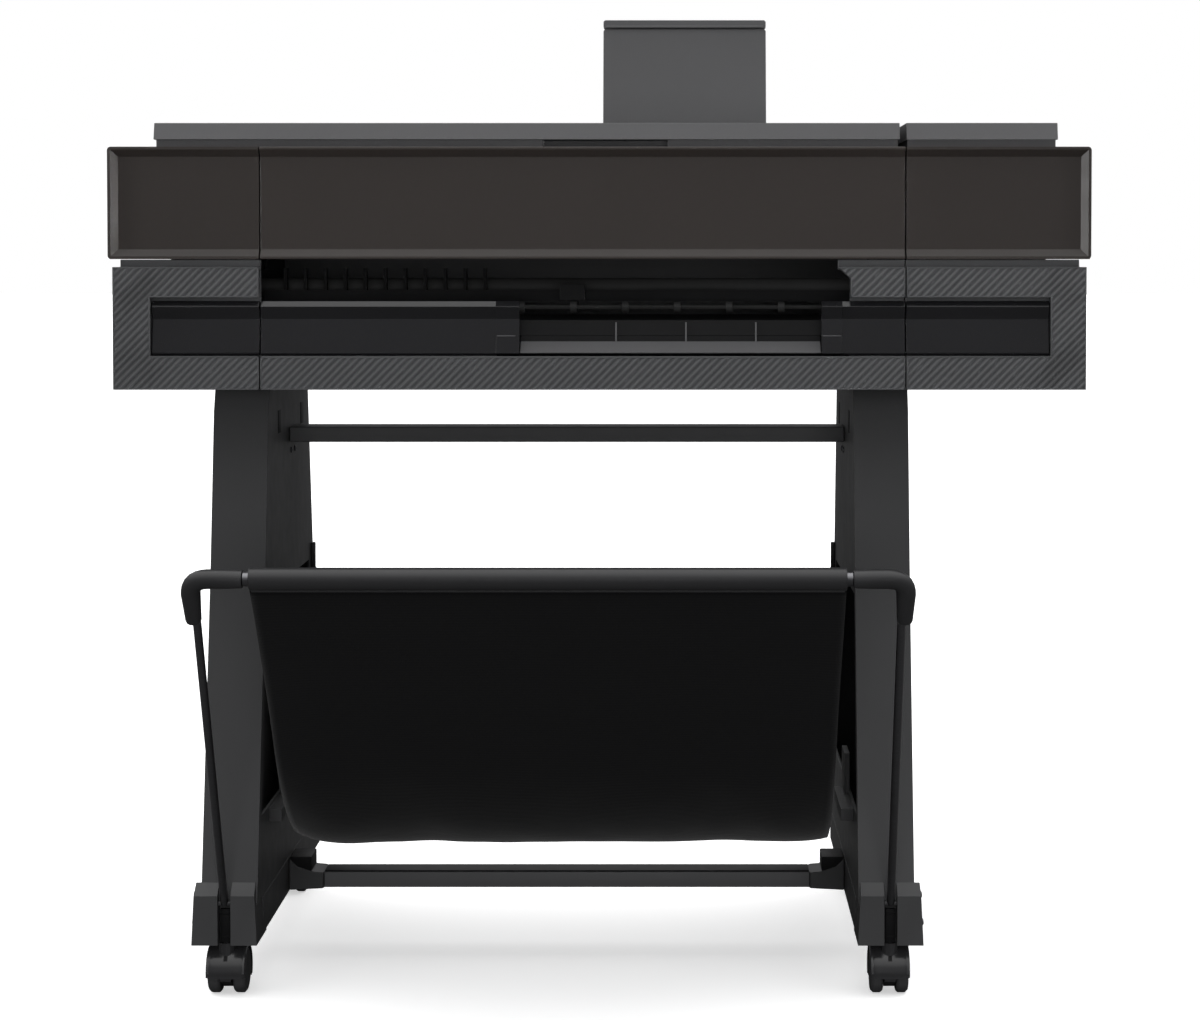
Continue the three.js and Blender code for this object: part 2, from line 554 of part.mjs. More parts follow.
function buildStand() {
  const sides = { left: -1, right: 1 };
  for (const [side, sign] of Object.entries(sides)) {
    const centre = STAND_CENTRE + sign * FOOT_OFFSET;
    add(`${side}_leg`, legShell(centre + sign * -4, -sign), metals.painted);
    add(`${side}_foot`, footBeam(centre), metals.painted);
  }
  const inner = FOOT_OFFSET + 4 - LEG_HALF - 8.4;
  add('upper_crossbar', box(STAND_CENTRE - inner, STAND_CENTRE + inner, 281, 341, 587, 605),
    metals.painted);
  const end = FOOT_OFFSET - FOOT_HALF - GAP;
  const flare = (sign) => outline([
    [STAND_CENTRE + sign * end, 62], [STAND_CENTRE + sign * end, 99.5],
    [STAND_CENTRE + sign * (end - 10), 90], [STAND_CENTRE + sign * (end - 28), 84],
    [STAND_CENTRE + sign * (end - 40), 83], [STAND_CENTRE + sign * (end - 40), 64]]);
  const bar = join(
    box(STAND_CENTRE - end + 20, STAND_CENTRE + end - 20, 262, 298, 64, 83),
    alongY(flare(-1), 256, 304),
    alongY(flare(1), 256, 304));
  add('lower_crossbar', bar, metals.painted);
}

// Casters: a hood with its stem turns about Z, and a pair of wheels turns in it.

function buildCasters() {
  const wheelHalf = 20.5;
  const forkHalf = 6;
  const sides = 20;
  const axleZ = CASTER.radius * Math.cos(Math.PI / sides);
  const wheels = turned([
    [-wheelHalf, 0], [-wheelHalf, CASTER.radius - 3], [-wheelHalf + 3, CASTER.radius],
    [-forkHalf - 3.5, CASTER.radius], [-forkHalf - 1, CASTER.radius - 2.5], [-forkHalf - 1, 4],
    [forkHalf + 1, 4], [forkHalf + 1, CASTER.radius - 2.5], [forkHalf + 3.5, CASTER.radius],
    [wheelHalf - 3, CASTER.radius], [wheelHalf, CASTER.radius - 3], [wheelHalf, 0]],
  0, 0, sides, Math.PI / sides);
  const cover = new THREE.Shape();
  cover.absarc(0, axleZ, 29.5, -0.15 * Math.PI, 0.98 * Math.PI);
  cover.absarc(0, axleZ, 26.4, 0.98 * Math.PI, -0.15 * Math.PI, true);
  const web = new THREE.Shape();
  web.absarc(0, axleZ, 27.5, -0.15 * Math.PI, 1.08 * Math.PI);
  web.lineTo(-8, 8);
  web.lineTo(8, 8);
  const hood = cut(
    join(
      alongX(cover, -wheelHalf, wheelHalf),
      alongX(web, -forkHalf, forkHalf),
      rod('z', 45, 58.6, 0, -CASTER.trail, 9.5, 12),
      rod('z', 58, 92, 0, -CASTER.trail, 5.5, 12)),
    rod('x', -10, 10, 0, axleZ, 4.8, 12),
    ...[-1, 1].map((sign) => turned([
      [sign * 16 - 9, 0], [sign * 16 - 9, 26.2], [sign * 16 + 9, 26.2], [sign * 16 + 9, 0]],
    0, axleZ, sides)));
  for (const [side, sign] of Object.entries({ left: -1, right: 1 })) {
    for (const place of ['front', 'back']) {
      const caster = new THREE.Group();
      const x = STAND_CENTRE + sign * FOOT_OFFSET;
      caster.position.set(x, CASTER[place] + CASTER.trail, 0);
      plotter.add(caster);
      add(`${place}_${side}_caster_hood`, hood, plastics.black, caster);
      const pair = add(`${place}_${side}_caster_wheels`, wheels, rubber, caster);
      pair.position.z = axleZ;
    }
  }
}

// Media bin: a steel tube on two folding arms at the front, a bar at the back, a fabric sling.

function sweptTube(points, radius, sides = 12) {
  const path = new THREE.CatmullRomCurve3(
    points.map(([x, y, z]) => new THREE.Vector3(x, y, z)), false, 'centripetal');
  const section = new THREE.Shape();
  section.absarc(0, 0, radius, 0, 2 * Math.PI);
  return new THREE.ExtrudeGeometry(section, {
    steps: 3 * (points.length - 1), curveSegments: sides, extrudePath: path });
}

function buildBin() {
  const armY = BIN_PIVOT.y - BIN_TUBE.y;
  const armZ = BIN_PIVOT.z - BIN_TUBE.z;
  const length = Math.hypot(armY, armZ);
  const along = (distance) => [
    BIN_TUBE.y + armY * distance / length, BIN_TUBE.z + armZ * distance / length];
  const sleeveEnd = BIN_WIDTH_HALF + 6.5;
  add('bin_tube', rod('x', STAND_CENTRE - sleeveEnd, STAND_CENTRE + sleeveEnd, BIN_TUBE.y,
    BIN_TUBE.z, 7.5), metals.steel);
  for (const [side, sign] of Object.entries({ left: -1, right: 1 })) {
    const at = (offset) => STAND_CENTRE + sign * offset;
    const elbow = sweptTube([
      [at(sleeveEnd + GAP), ...along(0)], [at(330), ...along(0)], [at(344), ...along(0)],
      [at(353), ...along(4)], [at(BIN_TUBE.offset), ...along(14)],
      [at(BIN_TUBE.offset), ...along(28)], [at(BIN_TUBE.offset), ...along(52)]], 9.5, 6);
    add(`${side}_bin_elbow`, elbow, plastics.black);
    const top = new THREE.Vector3(at(BIN_TUBE.offset), ...along(52 + GAP));
    const bottom = new THREE.Vector3(at(FOOT_OFFSET), BIN_PIVOT.y, BIN_PIVOT.z);
    const shaft = new THREE.CylinderGeometry(4.5, 4.5, top.distanceTo(bottom), 12);
    const arm = add(`${side}_bin_rod`, shaft, metals.steel);
    arm.position.copy(top).lerp(bottom, 0.5);
    arm.quaternion.setFromUnitVectors(
      new THREE.Vector3(0, 1, 0), top.clone().sub(bottom).normalize());
  }
  const barEnd = FOOT_OFFSET + 4 - LEG_HALF - 8.4;
  add('rear_bin_bar', rod('x', STAND_CENTRE - barEnd, STAND_CENTRE + barEnd, REAR_BAR.y,
    REAR_BAR.z, REAR_BAR.radius, 12), metals.steel);

  const hang = new THREE.SplineCurve([
    [BIN_TUBE.y + 2, BIN_TUBE.z - 9], [-98, 346], [-22, 240], [70, 168], [160, 146],
    [280, 178], [390, 275], [REAR_BAR.y - 11, REAR_BAR.z - 4],
  ].map(([y, z]) => new THREE.Vector2(y, z)));
  const upper = hang.getSpacedPoints(22);
  const lower = upper.map((point, i) => {
    const tangent = hang.getTangentAt(i / 22);
    return new THREE.Vector2(point.x + tangent.y * 4, point.y - tangent.x * 4);
  });
  const sheet = new THREE.Shape([...upper, ...lower.reverse()]);
  add('bin_sling', alongX(sheet, STAND_CENTRE - BIN_WIDTH_HALF, STAND_CENTRE + BIN_WIDTH_HALF),
    fabric);
}

buildChassis();
buildUpperPanels();
buildLowerHousing();
buildRearCover();
buildLids();
buildPaperRest();
buildPlaten();
buildFeedTrain();
buildScanAxis();
buildSpindle();
buildInkStation();
buildStand();
buildCasters();
buildBin();

// The origin is on the floor, below the middle of the whole object.
const extent = new THREE.Box3().setFromObject(plotter);
plotter.position.y = -(extent.min.y + extent.max.y) / 2;

export default plotter;
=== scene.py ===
import json
import math

import bmesh
import bpy
from mathutils import Matrix, Vector, noise


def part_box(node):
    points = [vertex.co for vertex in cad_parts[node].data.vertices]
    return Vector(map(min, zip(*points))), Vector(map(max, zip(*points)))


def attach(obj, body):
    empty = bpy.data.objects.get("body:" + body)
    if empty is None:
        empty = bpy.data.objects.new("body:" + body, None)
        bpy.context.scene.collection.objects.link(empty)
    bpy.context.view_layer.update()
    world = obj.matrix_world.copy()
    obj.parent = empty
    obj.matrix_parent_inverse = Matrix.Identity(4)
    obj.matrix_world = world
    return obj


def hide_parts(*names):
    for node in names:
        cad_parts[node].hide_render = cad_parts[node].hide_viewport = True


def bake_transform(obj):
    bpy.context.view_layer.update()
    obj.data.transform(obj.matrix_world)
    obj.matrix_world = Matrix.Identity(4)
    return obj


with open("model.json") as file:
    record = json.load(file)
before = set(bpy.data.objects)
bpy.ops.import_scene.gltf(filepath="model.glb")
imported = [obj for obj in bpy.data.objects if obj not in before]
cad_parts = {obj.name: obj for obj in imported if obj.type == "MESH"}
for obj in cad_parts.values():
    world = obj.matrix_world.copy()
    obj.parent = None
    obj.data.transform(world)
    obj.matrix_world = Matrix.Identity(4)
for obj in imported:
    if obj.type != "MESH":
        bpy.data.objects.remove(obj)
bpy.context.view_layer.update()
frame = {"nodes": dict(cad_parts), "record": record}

nodes = frame["nodes"]
MM = 0.001

# The front plane of the printer body, in the frame's Y.
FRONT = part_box("left_end_cover")[0].y


# ---------------------------------------------------------------- materials

class Shader:
    """One procedural material: a Principled shader and the nodes that drive it."""

    def __init__(self, name):
        self.material = bpy.data.materials.new(name)
        self.material.use_nodes = True
        self.tree = self.material.node_tree
        self.tree.nodes.clear()
        output = self.tree.nodes.new("ShaderNodeOutputMaterial")
        self.surface = self.tree.nodes.new("ShaderNodeBsdfPrincipled")
        self.tree.links.new(self.surface.outputs[0], output.inputs[0])
        self.place = self.tree.nodes.new("ShaderNodeTexCoord").outputs["Object"]
        self.height = None

    def link(self, source, target):
        self.tree.links.new(source, target)

    def node(self, kind, **values):
        made = self.tree.nodes.new(kind)
        for key, value in values.items():
            if key in made.inputs:
                made.inputs[key].default_value = value
            else:
                setattr(made, key, value)
        return made

    def stretched(self, scale):
        """The object's coordinates, scaled by a different amount on each axis."""
        mapping = self.node("ShaderNodeMapping")
        mapping.inputs["Scale"].default_value = scale
        self.link(self.place, mapping.inputs["Vector"])
        return mapping.outputs[0]

    def noise(self, scale, detail=2.0, rough=0.5, place=None):
        made = self.node("ShaderNodeTexNoise", Scale=scale, Detail=detail, Roughness=rough)
        self.link(place or self.place, made.inputs["Vector"])
        return made.outputs["Fac"]

    def band(self, scale, direction, place=None):
        made = self.node("ShaderNodeTexWave", Scale=scale, Distortion=0.4)
        made.bands_direction = direction
        self.link(place or self.place, made.inputs["Vector"])
        return made.outputs["Fac"]

    def maths(self, operation, first, second):
        made = self.node("ShaderNodeMath", operation=operation)
        for socket, value in zip(made.inputs, (first, second)):
            if isinstance(value, (int, float)):
                socket.default_value = value
            else:
                self.link(value, socket)
        return made.outputs[0]

    def remap(self, value, low, high, start=0.0, end=1.0):
        made = self.node("ShaderNodeMapRange")
        made.inputs["From Min"].default_value = start
        made.inputs["From Max"].default_value = end
        made.inputs["To Min"].default_value = low
        made.inputs["To Max"].default_value = high
        self.link(value, made.inputs["Value"])
        return made.outputs[0]

    def colours(self, value, first, second):
        made = self.node("ShaderNodeMix", data_type="RGBA")
        made.inputs[6].default_value = (*first, 1)
        made.inputs[7].default_value = (*second, 1)
        self.link(value, made.inputs[0])
        return made.outputs[2]

    def mix_colour(self, value, first, second):
        """first is a socket, second a colour."""
        made = self.node("ShaderNodeMix", data_type="RGBA")
        self.link(first, made.inputs[6])
        made.inputs[7].default_value = (*second, 1)
        self.link(value, made.inputs[0])
        return made.outputs[2]

    def bump(self, height, distance, strength=1.0):
        made = self.node("ShaderNodeBump", Distance=distance, Strength=strength)
        self.link(height, made.inputs["Height"])
        if self.height is not None:
            self.link(self.height, made.inputs["Normal"])
        self.height = made.outputs[0]

    def worn_edges(self, low=0.51, high=0.58):
        """0 on flat faces to 1 along sharp outer edges."""
        geometry = self.node("ShaderNodeNewGeometry")
        return self.remap(geometry.outputs["Pointiness"], 0.0, 1.0, low, high)

    def done(self, colour=None, roughness=None, **constants):
        if colour is not None:
            self.link(colour, self.surface.inputs["Base Color"])
        if roughness is not None:
            self.link(roughness, self.surface.inputs["Roughness"])
        if self.height is not None:
            self.link(self.height, self.surface.inputs["Normal"])
        for key, value in constants.items():
            self.surface.inputs[key.replace("_", " ")].default_value = value
        return self.material


def shade(colour, factor):
    return tuple(min(1.0, channel * factor) for channel in colour)


def moulded(name, colour, rough, grain=0.00004, specular=0.4, coat=0.0):
    """Injection-moulded plastic: spark-eroded grain, faint cloudiness and lighter edges."""
    s = Shader(name)
    cloud = s.noise(7.0, 4.0)
    fine = s.noise(1500.0, 2.0)
    base = s.colours(cloud, shade(colour, 0.9), shade(colour, 1.1))
    base = s.mix_colour(s.maths("MULTIPLY", s.worn_edges(), 0.35), base, shade(colour, 2.2))
    roughness = s.remap(s.noise(60.0, 3.0), rough - 0.05, rough + 0.06)
    s.bump(s.noise(18.0, 1.0), 0.0001, 0.4)
    s.bump(fine, grain)
    return s.done(base, roughness, Specular_IOR_Level=specular, Coat_Weight=coat,
                  Coat_Roughness=0.12)


def glossy(name, colour, rough):
    """Polished plastic with fine hairline scratches and a little dust."""
    s = Shader(name)
    scratches = s.noise(60.0, 3.0, place=s.stretched((4.0, 40.0, 40.0)))
    dust = s.remap(s.noise(2200.0, 1.0), 0.0, 1.0, 0.70, 0.80)
    base = s.colours(s.noise(5.0), shade(colour, 0.85), shade(colour, 1.15))
    base = s.mix_colour(s.maths("MULTIPLY", dust, 0.10), base, (0.25, 0.25, 0.25))
    roughness = s.remap(scratches, rough - 0.03, rough + 0.07)
    s.bump(s.noise(25.0, 1.0), 0.00012, 0.25)
    return s.done(base, roughness, Specular_IOR_Level=0.5)


def powder_coat(name, colour, rough, metallic=0.0):
    """Baked powder paint on sheet steel: orange peel, speckle, bright rubbed edges."""
    s = Shader(name)
    peel = s.noise(420.0, 2.0)
    speckle = s.remap(s.noise(2600.0, 1.0), 0.0, 1.0, 0.45, 0.72)
    base = s.colours(s.noise(5.0, 4.0), shade(colour, 0.88), shade(colour, 1.12))
    base = s.mix_colour(s.maths("MULTIPLY", speckle, 0.18), base, shade(colour, 2.0))
    base = s.mix_colour(s.maths("MULTIPLY", s.worn_edges(), 0.4), base, shade(colour, 2.6))
    roughness = s.remap(s.noise(40.0, 3.0), rough - 0.06, rough + 0.08)
    s.bump(s.noise(9.0, 1.0), 0.0003, 0.25)
    s.bump(peel, 0.00005)
    return s.done(base, roughness, Metallic=metallic, Specular_IOR_Level=0.4)


def brushed(name, colour, rough, along):
    """Drawn or ground steel with fine lines along one axis and slightly dull patches."""
    s = Shader(name)
    scale = [900.0, 900.0, 900.0]
    scale["xyz".index(along)] = 12.0
    lines = s.noise(1.0, 2.0, place=s.stretched(scale))
    base = s.colours(lines, shade(colour, 0.75), shade(colour, 1.2))
    base = s.mix_colour(s.remap(s.noise(30.0, 4.0), 0.0, 0.5, 0.55, 0.8), base,
                        shade(colour, 0.55))
    roughness = s.remap(lines, rough - 0.08, rough + 0.12)
    s.bump(lines, 0.00002)
    return s.done(base, roughness, Metallic=1.0)


def rubbery(name, colour, rough):
    """Matte rubber: fine pits, pale scuffs on the edges."""
    s = Shader(name)
    base = s.colours(s.noise(90.0, 4.0), shade(colour, 0.75), shade(colour, 1.3))
    base = s.mix_colour(s.maths("MULTIPLY", s.worn_edges(), 0.5), base, shade(colour, 3.0))
    s.bump(s.noise(1300.0, 2.0), 0.00006)
    return s.done(base, s.remap(s.noise(50.0), rough - 0.08, rough + 0.08),
                  Specular_IOR_Level=0.35)


YARN_PITCH = 0.7 * MM


def woven(name, colour):
    """Plain-weave polyester: crossing yarns about 0.7 mm apart, slubs, a faint sheen."""
    s = Shader(name)
    pitch = 1.0 / YARN_PITCH / math.tau
    warp = s.band(pitch, "X")
    run = s.node("ShaderNodeMapping")
    run.inputs["Rotation"].default_value = (0.55, 0.0, 0.0)
    s.link(s.place, run.inputs["Vector"])
    weft = s.band(pitch, "Z", run.outputs[0])
    weave = s.maths("MAXIMUM", warp, weft)
    slub = s.noise(55.0, 4.0, place=s.stretched((1.0, 6.0, 6.0)))
    base = s.colours(slub, shade(colour, 0.65), shade(colour, 1.5))
    base = s.mix_colour(s.remap(weave, 0.0, 0.4), base, shade(colour, 2.1))
    roughness = s.remap(slub, 0.72, 0.95)
    s.bump(s.noise(16.0, 3.0), 0.0012, 0.35)
    s.bump(weave, 0.00012, 0.8)
    return s.done(base, roughness, Specular_IOR_Level=0.25, Sheen_Weight=0.12,
                  Sheen_Roughness=0.45)


def touch_glass(name):
    """A dark touch panel: cover glass over a black mask, with faint finger marks."""
    s = Shader(name)
    smears = s.noise(28.0, 5.0, 0.65)
    base = s.colours(s.noise(9.0), (0.006, 0.006, 0.008), (0.012, 0.012, 0.015))
    roughness = s.remap(smears, 0.03, 0.22, 0.35, 0.75)
    s.bump(s.noise(12.0), 0.00003, 0.3)
    return s.done(base, roughness, Specular_IOR_Level=0.6, Coat_Weight=0.6)


MATERIALS = {
    "front_panel": moulded("front_panel_satin", (0.0235, 0.0195, 0.0175), 0.42),
    "ribbed_cover": moulded("ribbed_cover_satin", (0.048, 0.049, 0.051), 0.40),
    "casing": moulded("casing_grain", (0.060, 0.060, 0.062), 0.46),
    "gloss_band": glossy("gloss_band_black", (0.009, 0.009, 0.010), 0.12),
    "screen": touch_glass("screen_glass"),
    "inner_plastic": moulded("inner_black", (0.0045, 0.0045, 0.0048), 0.5, specular=0.2),
    "cartridge": moulded("cartridge_black", (0.018, 0.018, 0.019), 0.4),
    "chassis_metal": powder_coat("chassis_paint", (0.008, 0.008, 0.0085), 0.55),
    "stand_metal": powder_coat("stand_powder_coat", (0.028, 0.0282, 0.029), 0.42),
    "steel": brushed("satin_steel", (0.20, 0.20, 0.21), 0.32, "x"),
    "roller_rubber": rubbery("roller_rubber", (0.014, 0.014, 0.014), 0.62),
    "elbow_plastic": moulded("elbow_black", (0.020, 0.020, 0.021), 0.32),
    "bin_fabric": woven("bin_weave", (0.0040, 0.0040, 0.0043)),
    "caster_plastic": moulded("caster_nylon", (0.020, 0.020, 0.021), 0.22, coat=0.3),
    "caster_tread": rubbery("caster_tread", (0.030, 0.030, 0.031), 0.55),
}


def dress(obj, slot):
    obj.data.materials.clear()
    obj.data.materials.append(MATERIALS[slot])


# ------------------------------------------------------------- CAD node finish

SLOT_OF = {row["node"]: row["material_slot"] for row in frame["record"]["subparts"]}
EDGE_RADIUS = {
    "front_panel": 0.9, "ribbed_cover": 0.8, "casing": 1.4, "gloss_band": 1.2, "screen": 0.5,
    "inner_plastic": 0.6, "cartridge": 1.2, "chassis_metal": 0.8, "stand_metal": 1.6,
    "steel": 0.8, "roller_rubber": 0.5, "elbow_plastic": 0.8, "caster_plastic": 0.9,
    "caster_tread": 0.6,
}
NO_EDGE = {"bin_sling", "feed_gear", "feed_pinion", "carriage_belt"}


def soften(obj, radius, segments=2):
    """Rounds a CAD node's edges with modifiers; its own vertices stay as they are."""
    for face in obj.data.polygons:
        face.use_smooth = True
    weld = obj.modifiers.new("weld", "WELD")
    weld.merge_threshold = 0.00002
    flat = obj.modifiers.new("flat_faces", "DECIMATE")
    flat.decimate_type = "DISSOLVE"
    flat.angle_limit = math.radians(0.6)
    bevel = obj.modifiers.new("edge_radius", "BEVEL")
    bevel.width = radius
    bevel.segments = segments
    bevel.limit_method = "ANGLE"
    bevel.angle_limit = math.radians(28)
    bevel.miter_outer = "MITER_ARC"
    bevel.use_clamp_overlap = True
    normals = obj.modifiers.new("normals", "WEIGHTED_NORMAL")
    normals.keep_sharp = True
    normals.weight = 60


for node_name, node_object in nodes.items():
    node_slot = SLOT_OF[node_name]
    dress(node_object, node_slot)
    if node_name not in NO_EDGE:
        soften(node_object, EDGE_RADIUS[node_slot] * MM)


# ------------------------------------------------------------- mesh helpers

def new_piece(name, mesh, body, slot, smooth_angle=35):
    """Links a bmesh as a piece that rides on a body and takes a slot's material."""
    data = bpy.data.meshes.new(name)
    bmesh.ops.recalc_face_normals(mesh, faces=mesh.faces)
    mesh.to_mesh(data)
    mesh.free()
    obj = bpy.data.objects.new(name, data)
    bpy.context.scene.collection.objects.link(obj)
    for face in data.polygons:
        face.use_smooth = True
    data.set_sharp_from_angle(angle=math.radians(smooth_angle))
    dress(obj, slot)
    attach(obj, body)
    return obj


def add_box(mesh, low, high, radius=0.0, segments=2):
    """A box from corner to corner, with rounded edges where radius is above 0."""
    size = [high[i] - low[i] for i in range(3)]
    middle = [(high[i] + low[i]) / 2 for i in range(3)]
    made = bmesh.ops.create_cube(mesh, size=1.0)["verts"]
    for vert in made:
        vert.co = Vector([vert.co[i] * size[i] + middle[i] for i in range(3)])
    if radius > 0:
        edges = list({edge for vert in made for edge in vert.link_edges})
        bmesh.ops.bevel(mesh, geom=edges, offset=radius, segments=segments, affect="EDGES",
                        profile=0.5)
    return made


def join_rings(mesh, rings):
    """Quads between each ring of vertices and the next."""
    for first, last in zip(rings, rings[1:]):
        for step in range(len(first)):
            after = (step + 1) % len(first)
            mesh.faces.new((first[step], first[after], last[after], last[step]))


def add_turned(mesh, profile, centre, axis, steps=32):
    """A closed solid of (distance along the axis, radius) steps turned about an axis."""
    turn = Vector((0, 0, 1)).rotation_difference(Vector(axis)).to_matrix()
    rings = []
    for distance, radius in profile:
        ring = []
        for step in range(steps):
            angle = 2 * math.pi * step / steps
            local = Vector((radius * math.cos(angle), radius * math.sin(angle), distance))
            ring.append(mesh.verts.new(Vector(centre) + turn @ local))
        rings.append(ring)
    join_rings(mesh, rings)
    mesh.faces.new(list(reversed(rings[0])))
    mesh.faces.new(rings[-1])


def rounded_ends(length, radius, edge, steps=3):
    """The (distance, radius) profile of a cylinder with rounded rims."""
    arc = [math.pi / 2 * i / steps for i in range(steps + 1)]
    first = [(edge - edge * math.cos(a), radius - edge + edge * math.sin(a)) for a in arc]
    last = [(length - d, r) for d, r in reversed(first)]
    return first + last


# ------------------------------------------------------------- ribbed covers

RIB_PITCH = 8.56 * MM
RIB_HEIGHT = 1.3 * MM
# One rib across its pitch: (share of the pitch, share of the height).
RIB_PROFILE = ((0.0, 0.0), (0.22, 0.0), (0.42, 0.85), (0.54, 1.0), (0.80, 0.72), (1.0, 0.0))
# How far a rib's foot stands in front of the face, and how far its root goes into it.
RIB_BASE = 0.1 * MM
RIB_ROOT = 0.3 * MM
RIM = 1.5 * MM
# Heights above the covers' lower edge: their top, the band's recess, the front fascia's top.
COVER_HEIGHT = 131.5 * MM
BAND_RECESS = (36 * MM, 99 * MM)
FASCIA_HEIGHT = 35.6 * MM
BAND_GAP = 0.6 * MM
# The cheek right of the output mouth: its width beside the band, and its top corner's slope.
CHEEK_WIDTH = 58.25 * MM
CHEEK_CHAMFER = 13 * MM


def clipped(polygon, limit, keep_above):
    """Cuts a convex (x, z) polygon along the line x - z = limit and keeps one side."""
    side = 1 if keep_above else -1
    result = []
    for (x0, z0), (x1, z1) in zip(polygon, polygon[1:] + polygon[:1]):
        d0 = side * (x0 - z0 - limit)
        d1 = side * (x1 - z1 - limit)
        if d0 >= 0:
            result.append((x0, z0))
        if (d0 > 0 > d1) or (d0 < 0 < d1):
            share = d0 / (d0 - d1)
            result.append((x0 + (x1 - x0) * share, z0 + (z1 - z0) * share))
    return result


def rib_height(x, z):
    phase = (x - z) / RIB_PITCH % 1.0
    for (s0, h0), (s1, h1) in zip(RIB_PROFILE, RIB_PROFILE[1:]):
        if phase <= s1:
            return RIB_HEIGHT * (h0 + (h1 - h0) * (phase - s0) / (s1 - s0))
    return 0.0


def ribbed_skin(name, cells, front):
    """Diagonal ribs at 45 degrees over convex cells of (x, z) corners, on the face y = front."""
    mesh = bmesh.new()
    for cell in cells:
        across = [x - z for x, z in cell]
        first = math.floor(min(across) / RIB_PITCH)
        last = math.ceil(max(across) / RIB_PITCH)
        for count in range(first, last):
            for (s0, _), (s1, _) in zip(RIB_PROFILE, RIB_PROFILE[1:]):
                strip = clipped(cell, (count + s0) * RIB_PITCH, True)
                strip = clipped(strip, (count + s1) * RIB_PITCH, False) if strip else []
                if len(strip) > 2:
                    mesh.faces.new([mesh.verts.new((x, front, z)) for x, z in strip])
    bmesh.ops.remove_doubles(mesh, verts=mesh.verts[:], dist=0.02 * MM)
    bmesh.ops.dissolve_degenerate(mesh, edges=mesh.edges[:], dist=0.02 * MM)
    base = bmesh.ops.extrude_face_region(mesh, geom=mesh.faces[:])["geom"]
    moved = {item for item in base if isinstance(item, bmesh.types.BMVert)}
    for vert in mesh.verts:
        if vert in moved:
            vert.co.y -= rib_height(vert.co.x, vert.co.z + 1e-7) + RIB_BASE
        else:
            vert.co.y += RIB_ROOT
    return new_piece(name, mesh, "frame", "ribbed_cover", 18)


def rim_bars(name, bars, front):
    """The smooth border of a ribbed face: straight bars from corner to corner."""
    mesh = bmesh.new()
    for x0, z0, x1, z1 in bars:
        low = (min(x0, x1), front - RIB_HEIGHT, min(z0, z1))
        high = (max(x0, x1), front + 0.2 * MM, max(z0, z1))
        add_box(mesh, low, high, 0.4 * MM)
    return new_piece(name, mesh, "frame", "ribbed_cover", 30)


def cells_between(xs, zs, skip=()):
    """Rectangles of a grid of (x, z) lines, without those named by (column, row)."""
    return [[(x0, z0), (x1, z0), (x1, z1), (x0, z1)]
            for i, (x0, x1) in enumerate(zip(xs, xs[1:]))
            for j, (z0, z1) in enumerate(zip(zs, zs[1:])) if (i, j) not in skip]


def build_ribs():
    left_low, left_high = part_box("left_end_cover")
    right_low, right_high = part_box("right_end_cover")
    mid_low, mid_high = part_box("front_fascia")
    bottom = left_low.z
    top = bottom + COVER_HEIGHT
    low, high = (bottom + edge for edge in BAND_RECESS)
    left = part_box("left_band_outer")[0].x - BAND_GAP
    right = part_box("right_band_outer")[1].x + BAND_GAP
    zs = (bottom + RIM, low - RIM, high + RIM, top - RIM)

    x0, x1 = left_low.x, left_high.x
    xs = (x0 + RIM, left - RIM, x1 - RIM)
    ribbed_skin("left_cover_ribs", cells_between(xs, zs, skip={(1, 1)}), FRONT)
    rim_bars("left_cover_rim", (
        (x0, bottom, x1, bottom + RIM), (x0, top - RIM, x1, top), (x0, bottom, x0 + RIM, top),
        (x1 - RIM, bottom, x1, low), (x1 - RIM, high, x1, top),
        (left - RIM, low - RIM, x1, low), (left - RIM, high, x1, high + RIM),
        (left - RIM, low, left, high)), FRONT)

    x0, x1 = right_low.x, right_high.x
    xs = (x0 + RIM, right + RIM, x1 - RIM)
    ribbed_skin("right_cover_ribs", cells_between(xs, zs, skip={(0, 1)}), FRONT)
    rim_bars("right_cover_rim", (
        (x0, bottom, x1, bottom + RIM), (x0, top - RIM, x1, top), (x1 - RIM, bottom, x1, top),
        (x0, bottom, x0 + RIM, low), (x0, high, x0 + RIM, top),
        (x0, low - RIM, right + RIM, low), (x0, high, right + RIM, high + RIM),
        (right, low, right + RIM, high)), FRONT)

    x0, x1 = mid_low.x, mid_high.x
    ledge = bottom + FASCIA_HEIGHT
    fascia = cells_between((x0 + RIM, x1 - RIM), (bottom + RIM, ledge - RIM))
    ribbed_skin("fascia_ribs", fascia, FRONT)
    rim_bars("fascia_rim", (
        (x0, bottom, x1, bottom + RIM), (x0, ledge - RIM, x1, ledge),
        (x0, bottom, x0 + RIM, ledge), (x1 - RIM, bottom, x1, ledge)), FRONT)

    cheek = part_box("right_band_inner")[1].x - CHEEK_WIDTH
    slant = RIM * math.tan(math.pi / 8)
    ribbed_skin("cheek_ribs", [[
        (cheek + RIM, high + RIM), (x1 - RIM, high + RIM), (x1 - RIM, top - RIM),
        (cheek - CHEEK_CHAMFER + RIM + slant, top - RIM),
        (cheek + RIM, top - CHEEK_CHAMFER - slant)]], FRONT)
    rim_bars("cheek_rim", (
        (cheek - CHEEK_CHAMFER + 1 * MM, top - RIM, x1, top), (x1 - RIM, high, x1, top),
        (cheek, high, x1, high + RIM), (cheek, high, cheek + RIM, top - CHEEK_CHAMFER)), FRONT)


build_ribs()


# ------------------------------------------------------------- media bin

